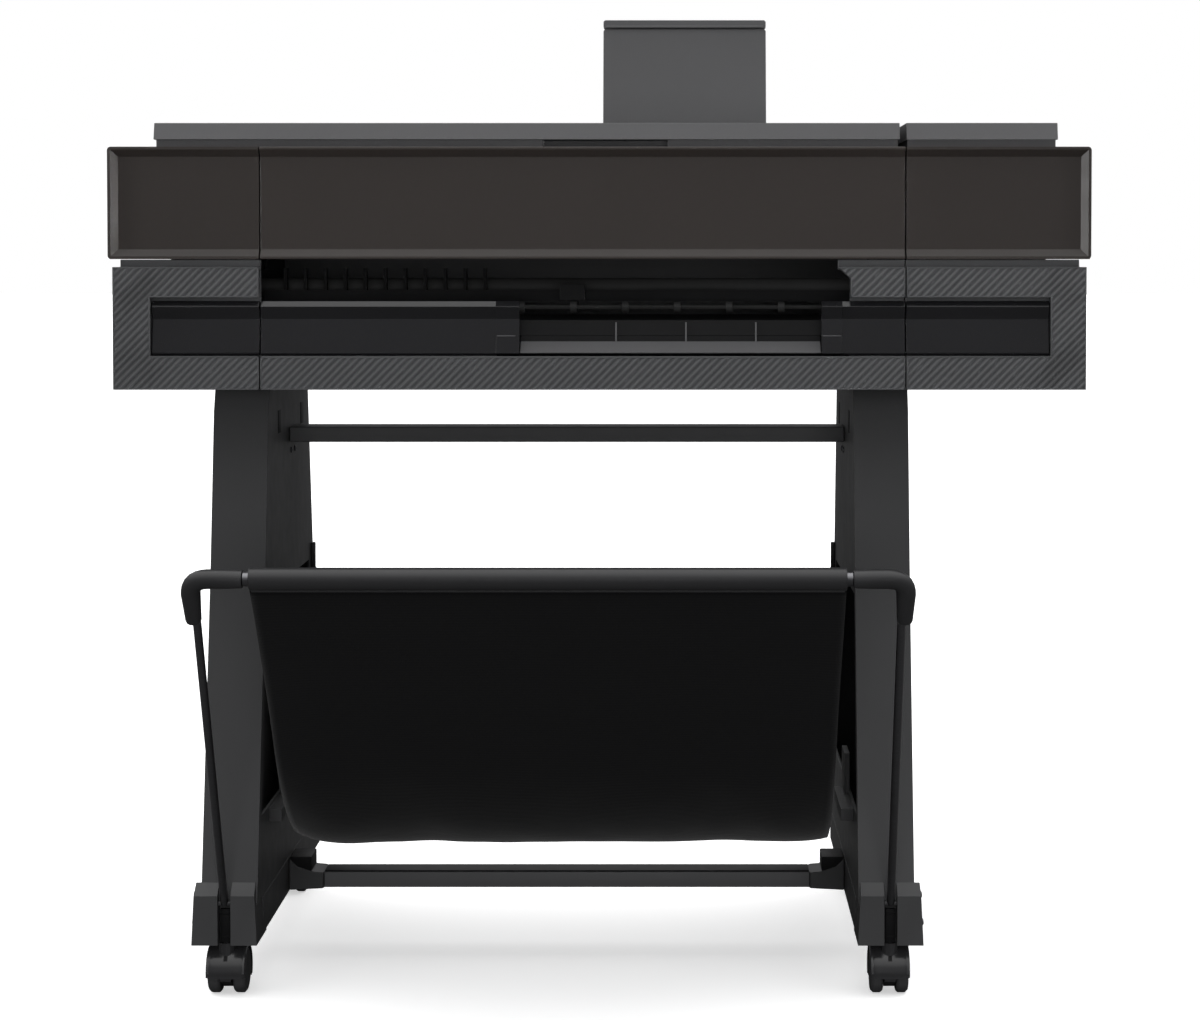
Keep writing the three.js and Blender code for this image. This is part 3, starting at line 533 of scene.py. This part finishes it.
def smooth_curve(points, count):
    """Evenly spaced points on a Catmull-Rom curve through (y, z) points."""
    ends = [points[0]] + list(points) + [points[-1]]
    dense = []
    for i in range(1, len(ends) - 2):
        p0, p1, p2, p3 = (Vector(p) for p in ends[i - 1:i + 3])
        for step in range(40):
            t = step / 40
            dense.append(0.5 * (2 * p1 + (p2 - p0) * t + (2 * p0 - 5 * p1 + 4 * p2 - p3) * t ** 2
                                + (3 * p1 - p0 - 3 * p2 + p3) * t ** 3))
    dense.append(Vector(points[-1]))
    lengths = [0.0]
    for a, b in zip(dense, dense[1:]):
        lengths.append(lengths[-1] + (b - a).length)
    result = []
    j = 0
    for i in range(count + 1):
        target = lengths[-1] * i / count
        while j < len(dense) - 2 and lengths[j + 1] < target:
            j += 1
        share = (target - lengths[j]) / max(lengths[j + 1] - lengths[j], 1e-9)
        result.append(dense[j].lerp(dense[j + 1], share))
    return result, lengths[-1]


def tube_centre(node):
    low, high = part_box(node)
    return (low + high) / 2


CLOTH = 1.1 * MM
SLEEVE_RADIUS = 11.6 * MM
REAR_SLEEVE_RADIUS = 10.4 * MM
SLING_ROWS = 96
SLING_COLUMNS = 72
# The line on which the cloth hangs: (metres behind the tube, share of the drop above the
# lowest point).
SLING_LINE = ((0.092, 0.600), (0.168, 0.280), (0.258, 0.068), (0.350, 0.0), (0.470, 0.096),
              (0.580, 0.385))


def build_sling():
    tube = tube_centre("bin_tube")
    bar = tube_centre("rear_bin_bar")
    low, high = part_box("bin_sling")
    half = (high.x - low.x) / 2
    middle = (high.x + low.x) / 2
    lowest = low.z + 4 * MM
    depth = tube.z - lowest
    line = [(tube.y + 1 * MM, tube.z - SLEEVE_RADIUS + CLOTH)]
    line += [(tube.y + back, lowest + share * depth) for back, share in SLING_LINE]
    line.append((bar.y - 9.5 * MM, bar.z - 2 * MM))
    rows, length = smooth_curve(line, SLING_ROWS)
    mesh = bmesh.new()
    grid = []
    for i, point in enumerate(rows):
        v = i / SLING_ROWS
        before = rows[max(i - 1, 0)]
        after = rows[min(i + 1, SLING_ROWS)]
        tangent = (after - before).normalized()
        normal = Vector((-tangent.y, tangent.x))
        slack = math.sin(math.pi * min(v * 1.02, 1.0)) ** 0.8
        row = []
        for j in range(SLING_COLUMNS + 1):
            u = 2 * j / SLING_COLUMNS - 1
            edge = max(0.0, (abs(u) - 0.80) / 0.20)
            place = Vector((u * 1.7, v * 3.0, 0.0))
            wave = noise.noise(place * 1.6) * 3.2 * MM + noise.noise(place * 4.5) * 0.9 * MM
            curl = edge ** 2 * slack * (9.0 if u < 0 else 5.0) * MM
            pull = edge ** 2 * slack * (4.0 if u < 0 else 2.5) * MM
            ripple = math.sin(u * 11.0 + 0.8) * 1.1 * MM * math.exp(-((v - 0.43) / 0.10) ** 2)
            lift = (wave + ripple) * slack + curl
            x = middle + u * half - math.copysign(pull, u)
            row.append(mesh.verts.new((x, point.x + normal.x * lift, point.y + normal.y * lift)))
        grid.append(row)
    for i in range(SLING_ROWS):
        for j in range(SLING_COLUMNS):
            mesh.faces.new((grid[i][j], grid[i][j + 1], grid[i + 1][j + 1], grid[i + 1][j]))
    cloth = new_piece("media_bin_sling", mesh, "frame", "bin_fabric", 80)
    cloth.parent = None
    cloth.matrix_world = Matrix.Identity(4)
    solid = cloth.modifiers.new("cloth_thickness", "SOLIDIFY")
    solid.thickness = CLOTH
    solid.offset = 0
    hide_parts("bin_sling")
    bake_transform(cloth)
    build_tube_cover(tube, middle, half, SLEEVE_RADIUS)
    hem = fabric_sleeve("rear_sleeve", bar, middle, half, REAR_SLEEVE_RADIUS, "frame")


def build_tube_cover(tube, middle, half, radius):
    """A satin tube that clamps the front hem of the sling, with a rounded rim at each end."""
    mesh = bmesh.new()
    start = (middle - half, tube.y, tube.z)
    add_turned(mesh, rounded_ends(2 * half, radius, 1.2 * MM), start, (1, 0, 0), 48)
    new_piece("bin_tube_cover", mesh, "bin_frame", "elbow_plastic", 40)
    mesh = bmesh.new()
    low = (middle - half + 2 * MM, tube.y - 2.2 * MM, tube.z - radius - 1.6 * MM)
    high = (middle + half - 2 * MM, tube.y + 2.2 * MM, tube.z - radius + 1.5 * MM)
    add_box(mesh, low, high, 0.9 * MM, 3)
    new_piece("bin_tube_hem_clamp", mesh, "bin_frame", "elbow_plastic", 40)


def fabric_sleeve(name, centre, middle, half, radius, body):
    """The stitched tunnel of fabric round a tube, a little slack along its underside."""
    mesh = bmesh.new()
    around = 28
    stations = 90
    rings = []
    for i in range(stations + 1):
        u = 2 * i / stations - 1
        ring = []
        for k in range(around):
            angle = 2 * math.pi * k / around
            under = max(0.0, -math.sin(angle))
            wrinkle = noise.noise(Vector((u * 9.0, math.cos(angle), math.sin(angle)))) * 0.35 * MM
            r = radius + wrinkle + under * 0.7 * MM
            ring.append(mesh.verts.new((
                middle + u * half, centre.y + r * math.cos(angle), centre.z + r * math.sin(angle))))
        rings.append(ring)
    join_rings(mesh, rings)
    piece = new_piece(name, mesh, body, "bin_fabric", 80)
    solid = piece.modifiers.new("cloth_thickness", "SOLIDIFY")
    solid.thickness = 1.0 * MM
    solid.offset = -1
    return piece


build_sling()


ELBOW_LENGTH = 52 * MM
ELBOW_BEND = 19 * MM
ELBOW_STEPS = 32
# Where the bend's rings sit along its curve, and each ring's radius from the tube to the rod.
BEND_SHARES = (0, 0.15, 0.3, 0.45, 0.6, 0.75, 0.9, 1.0)
ELBOW_RADII = (9.3, 9.9) + (10.0,) * len(BEND_SHARES) + (9.0, 8.2, 7.4)


def build_elbows():
    """Smooth moulded elbows that replace the faceted ones and taper towards the rods."""
    for side, sign in (("left", -1), ("right", 1)):
        low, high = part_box(f"{side}_bin_elbow")
        tube = tube_centre("bin_tube")
        rod_low, rod_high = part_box(f"{side}_bin_rod")
        inner = high.x if sign < 0 else low.x
        rod_mid = (rod_low + rod_high) / 2
        corner_x = rod_mid.x + sign * 1.2 * MM
        down = Vector((0, rod_mid.y - tube.y, rod_mid.z - tube.z)).normalized()
        start = Vector((inner, tube.y, tube.z))
        corner = Vector((corner_x, tube.y, tube.z))
        end = corner + down * ELBOW_LENGTH
        path = [start, start.lerp(corner, 0.35)]
        first = corner + (start - corner).normalized() * ELBOW_BEND
        last = corner + down * ELBOW_BEND
        path += [first.lerp(corner, t).lerp(corner.lerp(last, t), t) for t in BEND_SHARES]
        path += [last.lerp(end, 0.5), last.lerp(end, 0.94), end]
        mesh = bmesh.new()
        rings = []
        side_axis = down.cross(Vector((sign, 0, 0))).normalized()
        for i, point in enumerate(path):
            before = path[max(i - 1, 0)]
            after = path[min(i + 1, len(path) - 1)]
            tangent = (after - before).normalized()
            other = tangent.cross(side_axis).normalized()
            ring = []
            for k in range(ELBOW_STEPS):
                angle = 2 * math.pi * k / ELBOW_STEPS
                spoke = side_axis * math.cos(angle) + other * math.sin(angle)
                ring.append(mesh.verts.new(point + spoke * ELBOW_RADII[i] * MM))
            rings.append(ring)
        join_rings(mesh, rings)
        mesh.faces.new(rings[0])
        mesh.faces.new(rings[-1])
        elbow = new_piece(f"{side}_elbow_moulding", mesh, "bin_frame", "elbow_plastic", 50)
        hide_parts(f"{side}_bin_elbow")


build_elbows()


# ------------------------------------------------------------- small parts

def spot(x, y, z):
    """A point from millimetres: x from the middle, y behind the front plane, z from the floor."""
    return Vector((x * MM, FRONT + y * MM, z * MM))


def box_between(mesh, low, high, radius=0.0, segments=2):
    add_box(mesh, spot(*low), spot(*high), radius * MM, segments)


def add_screw(mesh, centre, axis, radius=3.4):
    """A round head with a sunk drive."""
    steps = ((-0.3, 1.0), (0.7, 1.0), (1.5, 0.84), (1.95, 0.55), (1.95, 0.46), (1.0, 0.42))
    profile = [(height * MM, share * radius * MM) for height, share in steps]
    add_turned(mesh, profile, centre, axis, 24)


def prism(mesh, points, x0, x1):
    """A solid from (y, z) corners in millimetres, from x0 to x1."""
    first = [mesh.verts.new(spot(x0, y, z)) for y, z in points]
    last = [mesh.verts.new(spot(x1, y, z)) for y, z in points]
    mesh.faces.new(first)
    mesh.faces.new(list(reversed(last)))
    for i in range(len(points)):
        n = (i + 1) % len(points)
        mesh.faces.new((first[i], last[i], last[n], first[n]))


# The output mouth, in millimetres: its ends, the (y, z) corners of its ramp, the seams' x.
MOUTH = {"left": -111, "right": 260}
LIP_INSET = {"left": 25.8, "right": 22.8}
RAMP = ((5, 701), (20, 712.5), (24.5, 734))
SEAMS = (17.2, 92.6, 168)
# The heights of a pale ridge on each end block, painted as the highlight along a gap's edge.
HIGHLIGHT_LINE = (719.3, 720.2)


def build_mouth_trim():
    """The output lip's ramp under a paler skin as painted light, its seam ribs, and a pale ridge on
    each end block as a painted highlight.
    """
    # A paler casing skin over the lip's ramp: painted light, showing the ramp's upward face as lit.
    mesh = bmesh.new()
    x0, x1 = MOUTH["left"] + LIP_INSET["left"], MOUTH["right"] - LIP_INSET["right"]
    (y0, z0), (y1, z1), (y2, z2) = RAMP
    rise = Vector((y1 - y0, z1 - z0)).normalized()
    out = Vector((-rise.y, rise.x))
    corners = [(y0, z0), (y1, z1), (y1 + out.x, z1 + out.y), (y0 + out.x, z0 + out.y)]
    prism(mesh, [(y + 0.1 * out.x, z + 0.1 * out.y) for y, z in corners], x0, x1)
    new_piece("output_lip_painted_light_skin", mesh, "frame", "casing")

    mesh = bmesh.new()
    for x in SEAMS:
        prism(mesh, [(y1 - 2.2, z1 - 1.2), (y2 - 2.2, z2), (y2 + 1, z2), (y1 + 1, z1 - 1.2)],
              x - 0.8, x + 0.8)
    new_piece("output_lip_seams", mesh, "frame", "casing")

    # A pale ridge on each end block: a painted highlight where the edge of a gap catches light.
    mesh = bmesh.new()
    for x in (MOUTH["left"], MOUTH["right"] - 22):
        box_between(mesh, (x + 1, 3.0, HIGHLIGHT_LINE[0]), (x + 21, 4.6, HIGHLIGHT_LINE[1]), 0.2)
    new_piece("end_block_painted_highlights", mesh, "frame", "casing")


# The stand, in millimetres: (y, z) of each small part is behind the front plane and from the
# floor.
STAND_CENTRE = -46.5
FOOT_OFFSET = 361
LEG_WIDTH = 61
LEG_SLOTS = {"y": ((192, 212), (376, 400)), "z": (603, 629)}
# Each strap layer in the foot's slot: half its width, then its (y, z) corners and its radius.
STRAPS = ((5.6, (19.5, 60), (24.6, 97), 1.0), (4.6, (18.9, 66), (20, 67.4), 0.3),
          (5.2, (18.4, 91), (20, 93.4), 0.5))
PIVOT = {"y": 15, "z": 104, "half": 6.8, "radius": 3.2}
NOSE_HALF = 36
NOSE_SCREWS = (82, 112)
PANEL_SCREWS = ((108, 150), (498, 150), (166, 612), (400, 612))
BAR_SCREWS = ((296, 577), (326, 577))


def build_stand_details():
    """Screws, dark plates as painted shade in each leg cable slot, slot straps, pivot pins and bar
    clips on both sides of the stand.
    """
    slot_shade = bmesh.new()
    screws = bmesh.new()
    straps = bmesh.new()
    pins = bmesh.new()
    clips = bmesh.new()
    for sign, side in ((-1, "left"), (1, "right")):
        low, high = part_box(f"{side}_leg")
        outer = (low.x if sign < 0 else high.x) / MM
        inner = outer - sign * LEG_WIDTH
        ends = sorted((inner - sign * 0.5, inner + sign * 0.3))
        z0, z1 = LEG_SLOTS["z"]
        # Dark plates on each leg's inner face: painted shade, standing for the dark inside of each
        # cable slot.
        for y0, y1 in LEG_SLOTS["y"]:
            box_between(slot_shade, (ends[0], y0, z0), (ends[1], y1, z1), 0.2)
        ends = sorted((inner - sign * 5.5, inner + sign * 0.2))
        box_between(clips, (ends[0], 462, 417), (ends[1], 470, 450), 1.2)
        box_between(clips, (ends[0], 455, 409), (ends[1], 476, 419), 1.5)
        centre = STAND_CENTRE + sign * FOOT_OFFSET
        for half, near, far, radius in STRAPS:
            box_between(straps, (centre - half, *near), (centre + half, *far), radius)
        pin = rounded_ends(2 * PIVOT["half"] * MM, PIVOT["radius"] * MM, 0.6 * MM)
        start = spot(centre - PIVOT["half"], PIVOT["y"], PIVOT["z"])
        add_turned(pins, pin, start, (1, 0, 0), 24)
        face = centre + sign * NOSE_HALF
        lean = Vector((sign, 0, 0.08))
        for z in NOSE_SCREWS:
            shift = -sign * (z - 59) * 0.06
            add_screw(screws, spot(face + shift, 24, z), lean, 4.0)
        for y, z in PANEL_SCREWS:
            add_screw(screws, spot(outer - sign * 0.2, y, z), (sign, 0, 0), 3.6)
        for y, z in BAR_SCREWS:
            add_screw(screws, spot(inner + sign * 0.1, y, z), (-sign, 0, 0), 3.6)
    new_piece("leg_slot_painted_shade", slot_shade, "frame", "inner_plastic")
    new_piece("stand_screws", screws, "frame", "steel", 30)
    new_piece("foot_slot_straps", straps, "frame", "inner_plastic")
    new_piece("bin_pivot_pins", pins, "bin_frame", "elbow_plastic")
    new_piece("bin_bar_clips", clips, "frame", "elbow_plastic")


def add_barrel(mesh, centre, angles, half, radii, thickness, steps=40, across=18):
    """A barrel-shaped shell about an axis along X, between two angles in degrees.

    radii holds its radius at the middle and at the ends, half is half its width.
    """
    grid = []
    for i in range(steps + 1):
        angle = math.radians(angles[0] + (angles[1] - angles[0]) * i / steps)
        row = []
        for j in range(across + 1):
            u = 2 * j / across - 1
            turn = math.asin(max(-1.0, min(1.0, u)))
            x = half * math.sin(turn * 0.98) / math.sin(math.pi / 2 * 0.98)
            crown = radii[0] - (radii[0] - radii[1]) * abs(x / half) ** 7
            row.append((x, crown, angle))
        grid.append(row)

    def place(x, r, angle):
        return Vector((centre[0] + x, centre[1] + r * math.cos(angle),
                       centre[2] + r * math.sin(angle)))

    outside = [[mesh.verts.new(place(*cell)) for cell in row] for row in grid]
    inside = [[mesh.verts.new(place(x, r - thickness, a)) for x, r, a in row] for row in grid]
    for i in range(steps):
        for j in range(across):
            mesh.faces.new((outside[i][j], outside[i][j + 1],
                            outside[i + 1][j + 1], outside[i + 1][j]))
            mesh.faces.new((inside[i][j], inside[i + 1][j],
                            inside[i + 1][j + 1], inside[i][j + 1]))
        for j in (0, across):
            mesh.faces.new((outside[i][j], outside[i + 1][j], inside[i + 1][j], inside[i][j]))
    for i in (0, steps):
        for j in range(across):
            mesh.faces.new((outside[i][j], outside[i][j + 1], inside[i][j + 1], inside[i][j]))


def build_casters():
    """Smooth barrel hoods over the twin wheels, each with a small dark slot in front."""
    for place in ("front", "back"):
        for side in ("left", "right"):
            name = f"{place}_{side}_caster"
            low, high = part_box(f"{name}_wheels")
            axle = (low + high) / 2
            mesh = bmesh.new()
            add_barrel(mesh, axle, (-24, 186), 21.6 * MM, (30.6 * MM, 26.4 * MM), 1.0 * MM)
            new_piece(f"{name}_dome", mesh, name, "caster_plastic", 60)
            mesh = bmesh.new()
            add_barrel(mesh, axle, (128, 150), 2.1 * MM, (30.9 * MM, 30.8 * MM), 0.9 * MM, 8, 4)
            new_piece(f"{name}_slot", mesh, name, "inner_plastic", 40)


def build_bar_trim():
    """The lower crossbar's front under a paler plate as painted light, a dark pad on its top as
    painted shade, and a cap on each flared end.
    """
    low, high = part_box("lower_crossbar")
    inner = (low.x / MM + 41, high.x / MM - 41)
    mesh = bmesh.new()
    # A paler plate on the bar's front: painted light, the front shown lit more than the top.
    box_between(mesh, (inner[0], 261.2, 65), (inner[1], 262.2, 82.2), 0.3)
    new_piece("lower_bar_painted_light_front", mesh, "frame", "casing")
    mesh = bmesh.new()
    # A dark pad on the bar's top: painted shade, where the body above keeps light off it.
    box_between(mesh, (inner[0], 263.5, 82.6), (inner[1], 296.5, 84), 0.4)
    for x in (low.x / MM, high.x / MM - 27):
        box_between(mesh, (x + 0.6, 257, 84), (x + 26.4, 303, 101.5), 1.5)
    new_piece("lower_bar_painted_shade_pad_and_caps", mesh, "frame", "inner_plastic")


# The paper rest, in millimetres: its sides, its hinge (y, z), its lean and its lip's height.
REST = {"left": -7, "right": 191.5, "y": 408, "z": 955, "lean": math.radians(10), "lip": 132.4}


def build_rest_trim():
    """The rounded front edge of the lip at the top of the paper rest."""
    mesh = bmesh.new()
    across, up = -3.4, REST["lip"]
    y = REST["y"] + across * math.cos(REST["lean"]) + up * math.sin(REST["lean"])
    z = REST["z"] - across * math.sin(REST["lean"]) + up * math.cos(REST["lean"])
    length = (REST["right"] - REST["left"] - 7) * MM
    add_turned(mesh, rounded_ends(length, 1.6 * MM, 1.2 * MM), spot(REST["left"] + 3.5, y, z),
               (1, 0, 0), 24)
    new_piece("rest_lip_bead", mesh, "rest_extension", "casing")


# The rear cover, in millimetres: the louvres' spans and rows, and the screws' places.
LOUVRE_SPANS = ((-300, -190), (-180, -70))
LOUVRES = {"first": 690, "pitch": 9, "count": 9, "height": 4.5}
REAR_SCREWS = {"x": (-500, -250, 0, 250, 500), "z": (676, 786, 905)}
INLET_PINS = ((-7, -1.5), (7, -1.5), (0, 2.5))


def build_rear_details():
    """Vent louvres, fixing screws and the inlet's pins on the plain rear cover."""
    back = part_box("rear_cover")[1].y
    louvres = bmesh.new()
    for row in range(LOUVRES["count"]):
        z = (LOUVRES["first"] + row * LOUVRES["pitch"]) * MM
        for x0, x1 in LOUVRE_SPANS:
            low = Vector((x0 * MM, back - 0.3 * MM, z))
            high = Vector((x1 * MM, back + 1.6 * MM, z + LOUVRES["height"] * MM))
            add_box(louvres, low, high, 0.8 * MM)
    new_piece("rear_vent_louvres", louvres, "frame", "casing")
    screws = bmesh.new()
    for x in REAR_SCREWS["x"]:
        for z in REAR_SCREWS["z"]:
            add_screw(screws, Vector((x * MM, back - 0.2 * MM, z * MM)), (0, 1, 0), 3.6)
    new_piece("rear_cover_screws", screws, "frame", "steel", 30)
    pins = bmesh.new()
    low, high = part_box("power_inlet")
    middle = (low + high) / 2
    for dx, dz in INLET_PINS:
        centre = (middle.x + dx * MM, middle.z + dz * MM)
        add_box(pins, (centre[0] - 1 * MM, high.y - 20 * MM, centre[1] - 2 * MM),
                (centre[0] + 1 * MM, high.y - 4 * MM, centre[1] + 2 * MM), 0.3 * MM)
    new_piece("inlet_pins", pins, "frame", "steel")


BEZEL_WIDTH = 2.2 * MM
# The ring round the power button: its section as (radius, height) in millimetres.
BUTTON_RING = ((7.9, -0.2), (10.2, -0.2), (9.8, 0.5), (8.2, 0.5))


def build_lid_details():
    """A bezel round the touch screen and a ring round the power button."""
    low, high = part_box("control_screen")
    mesh = bmesh.new()
    left, right = low.x - BEZEL_WIDTH, high.x + BEZEL_WIDTH
    near, far = low.y - BEZEL_WIDTH, high.y + BEZEL_WIDTH
    top = high.z + 0.7 * MM
    for x0, y0, x1, y1 in (
            (left, near, right, low.y), (left, high.y, right, far),
            (left, low.y, low.x, high.y), (high.x, low.y, right, high.y)):
        add_box(mesh, (x0, y0, low.z + 0.8 * MM), (x1, y1, top), 0.25 * MM)
    new_piece("screen_bezel", mesh, "ink_lid", "inner_plastic")
    low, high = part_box("power_button")
    middle = (low + high) / 2
    lid_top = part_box("ink_lid")[1].z
    mesh = bmesh.new()
    steps = 40
    rings = []
    for radius, z in BUTTON_RING:
        rings.append([mesh.verts.new((
            middle.x + radius * MM * math.cos(2 * math.pi * k / steps),
            middle.y + radius * MM * math.sin(2 * math.pi * k / steps), lid_top + z * MM))
            for k in range(steps)])
    join_rings(mesh, rings + rings[:1])
    new_piece("power_button_ring", mesh, "ink_lid", "inner_plastic")


build_mouth_trim()
build_stand_details()
build_casters()
build_bar_trim()
build_rest_trim()
build_rear_details()
build_lid_details()


# ------------------------------------------------------------- stage, light, camera

SKY_LOW = (0.10, 0.10, 0.105)
SKY_HIGH = (1.0, 1.0, 1.0)
SKY_STRENGTH = 1.9
# The floor's shade as the camera sees it, the glow that keeps its shadow faint, and the shade
# that lights the object from below.
FLOOR_SEEN = 1.0
FLOOR_GLOW = 0.5
FLOOR_BOUNCE = 0.08
FLOOR_HALF = 60.0
SKY_STOPS = ((0.30, 0.06), (0.62, 0.55))
STRIP = {"reach": 3.2, "size": (1.6, 0.16), "power": 1.1, "spread": 14}
FILL = {"place": (0.2, -6.0, 0.5), "aim": (0, 0, 0.6), "size": (3.5, 2.0), "power": 190}
CAMERA = {"sensor": 36.0, "lens": 81.3, "tilt": 2.0, "right": 0.083, "back": 2.9,
          "height": 0.801, "shift": (-0.0642, -0.2083)}


def build_stage():
    """A pale floor that returns less light to the object than it shows."""
    floor_material = bpy.data.materials.new("pale_floor")
    floor_material.use_nodes = True
    tree = floor_material.node_tree
    tree.nodes.clear()
    output = tree.nodes.new("ShaderNodeOutputMaterial")
    path = tree.nodes.new("ShaderNodeLightPath")
    mix = tree.nodes.new("ShaderNodeMixShader")
    for socket, level in ((1, FLOOR_BOUNCE), (2, FLOOR_SEEN)):
        matt = tree.nodes.new("ShaderNodeBsdfDiffuse")
        matt.inputs["Color"].default_value = (level, level, level, 1)
        tree.links.new(matt.outputs[0], mix.inputs[socket])
    tree.links.new(path.outputs["Is Camera Ray"], mix.inputs[0])
    glow = tree.nodes.new("ShaderNodeEmission")
    lift = tree.nodes.new("ShaderNodeMath")
    lift.operation = "MULTIPLY"
    lift.inputs[1].default_value = FLOOR_GLOW
    tree.links.new(path.outputs["Is Camera Ray"], lift.inputs[0])
    tree.links.new(lift.outputs[0], glow.inputs["Strength"])
    both = tree.nodes.new("ShaderNodeAddShader")
    tree.links.new(mix.outputs[0], both.inputs[0])
    tree.links.new(glow.outputs[0], both.inputs[1])
    tree.links.new(both.outputs[0], output.inputs[0])
    mesh = bmesh.new()
    corners = ((-1, -1), (1, -1), (1, 1), (-1, 1))
    mesh.faces.new([mesh.verts.new((x * FLOOR_HALF, y * FLOOR_HALF, 0)) for x, y in corners])
    data = bpy.data.meshes.new("floor")
    mesh.to_mesh(data)
    mesh.free()
    floor = bpy.data.objects.new("floor", data)
    floor.data.materials.append(floor_material)
    bpy.context.scene.collection.objects.link(floor)


def build_world():
    """A softbox sky: bright overhead, dim at the horizon, plain white where it is seen."""
    world = bpy.data.worlds.new("studio")
    bpy.context.scene.world = world
    world.use_nodes = True
    tree = world.node_tree
    tree.nodes.clear()
    output = tree.nodes.new("ShaderNodeOutputWorld")
    place = tree.nodes.new("ShaderNodeTexCoord")
    split = tree.nodes.new("ShaderNodeSeparateXYZ")
    ramp = tree.nodes.new("ShaderNodeValToRGB")
    stops = ramp.color_ramp
    stops.interpolation = "EASE"
    stops.elements[0].position = 0.0
    stops.elements[0].color = (*SKY_LOW, 1)
    stops.elements[1].position = 1.0
    stops.elements[1].color = (*SKY_HIGH, 1)
    for position, share in SKY_STOPS:
        added = stops.elements.new(position)
        mixed = [low + (high - low) * share for low, high in zip(SKY_LOW, SKY_HIGH)]
        added.color = (*mixed, 1)
    sky = tree.nodes.new("ShaderNodeBackground")
    sky.inputs["Strength"].default_value = SKY_STRENGTH
    seen = tree.nodes.new("ShaderNodeBackground")
    seen.inputs["Color"].default_value = (1, 1, 1, 1)
    path = tree.nodes.new("ShaderNodeLightPath")
    mix = tree.nodes.new("ShaderNodeMixShader")
    tree.links.new(place.outputs["Generated"], split.inputs[0])
    tree.links.new(split.outputs["Z"], ramp.inputs[0])
    tree.links.new(ramp.outputs[0], sky.inputs["Color"])
    tree.links.new(path.outputs["Is Camera Ray"], mix.inputs[0])
    tree.links.new(sky.outputs[0], mix.inputs[1])
    tree.links.new(seen.outputs[0], mix.inputs[2])
    tree.links.new(mix.outputs[0], output.inputs[0])


def area_light(name, place, target, size, power, spread=180, mirrored=True):
    data = bpy.data.lights.new(name, "AREA")
    data.shape = "RECTANGLE"
    data.size, data.size_y = size
    data.energy = power
    data.spread = math.radians(spread)
    light = bpy.data.objects.new(name, data)
    light.location = place
    aim = Vector(target) - Vector(place)
    light.rotation_euler = aim.to_track_quat("-Z", "Y").to_euler()
    light.visible_glossy = mirrored
    bpy.context.scene.collection.objects.link(light)


def build_lights():
    """Two flat beams from the sides at the height of the housing and a matt front fill."""
    beam = FRONT - 0.35
    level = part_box("upper_front_panel")[0].z + 0.06
    for side in (-1, 1):
        area_light(f"side_strip_{side + 1}", (side * STRIP["reach"], beam - 0.4, level),
                   (0, beam + 0.35, level), STRIP["size"], STRIP["power"], STRIP["spread"])
    area_light("front_fill", FILL["place"], FILL["aim"], FILL["size"], FILL["power"],
               mirrored=False)


def build_camera():
    """A view from the front, tilted slightly down, level with the seam of the housing."""
    data = bpy.data.cameras.new("camera")
    data.sensor_width = CAMERA["sensor"]
    data.lens = CAMERA["lens"]
    tilt = math.radians(CAMERA["tilt"])
    data.shift_x = CAMERA["shift"][0]
    data.shift_y = CAMERA["shift"][1] + data.lens / data.sensor_width * math.tan(tilt)
    camera = bpy.data.objects.new("camera", data)
    camera.location = (CAMERA["right"], FRONT - CAMERA["back"], CAMERA["height"])
    camera.rotation_euler = (math.pi / 2 - tilt, 0, 0)
    data.clip_end = 200
    bpy.context.scene.collection.objects.link(camera)
    bpy.context.scene.camera = camera


build_stage()
build_world()
build_lights()
build_camera()
bpy.context.scene.view_settings.view_transform = "Standard"
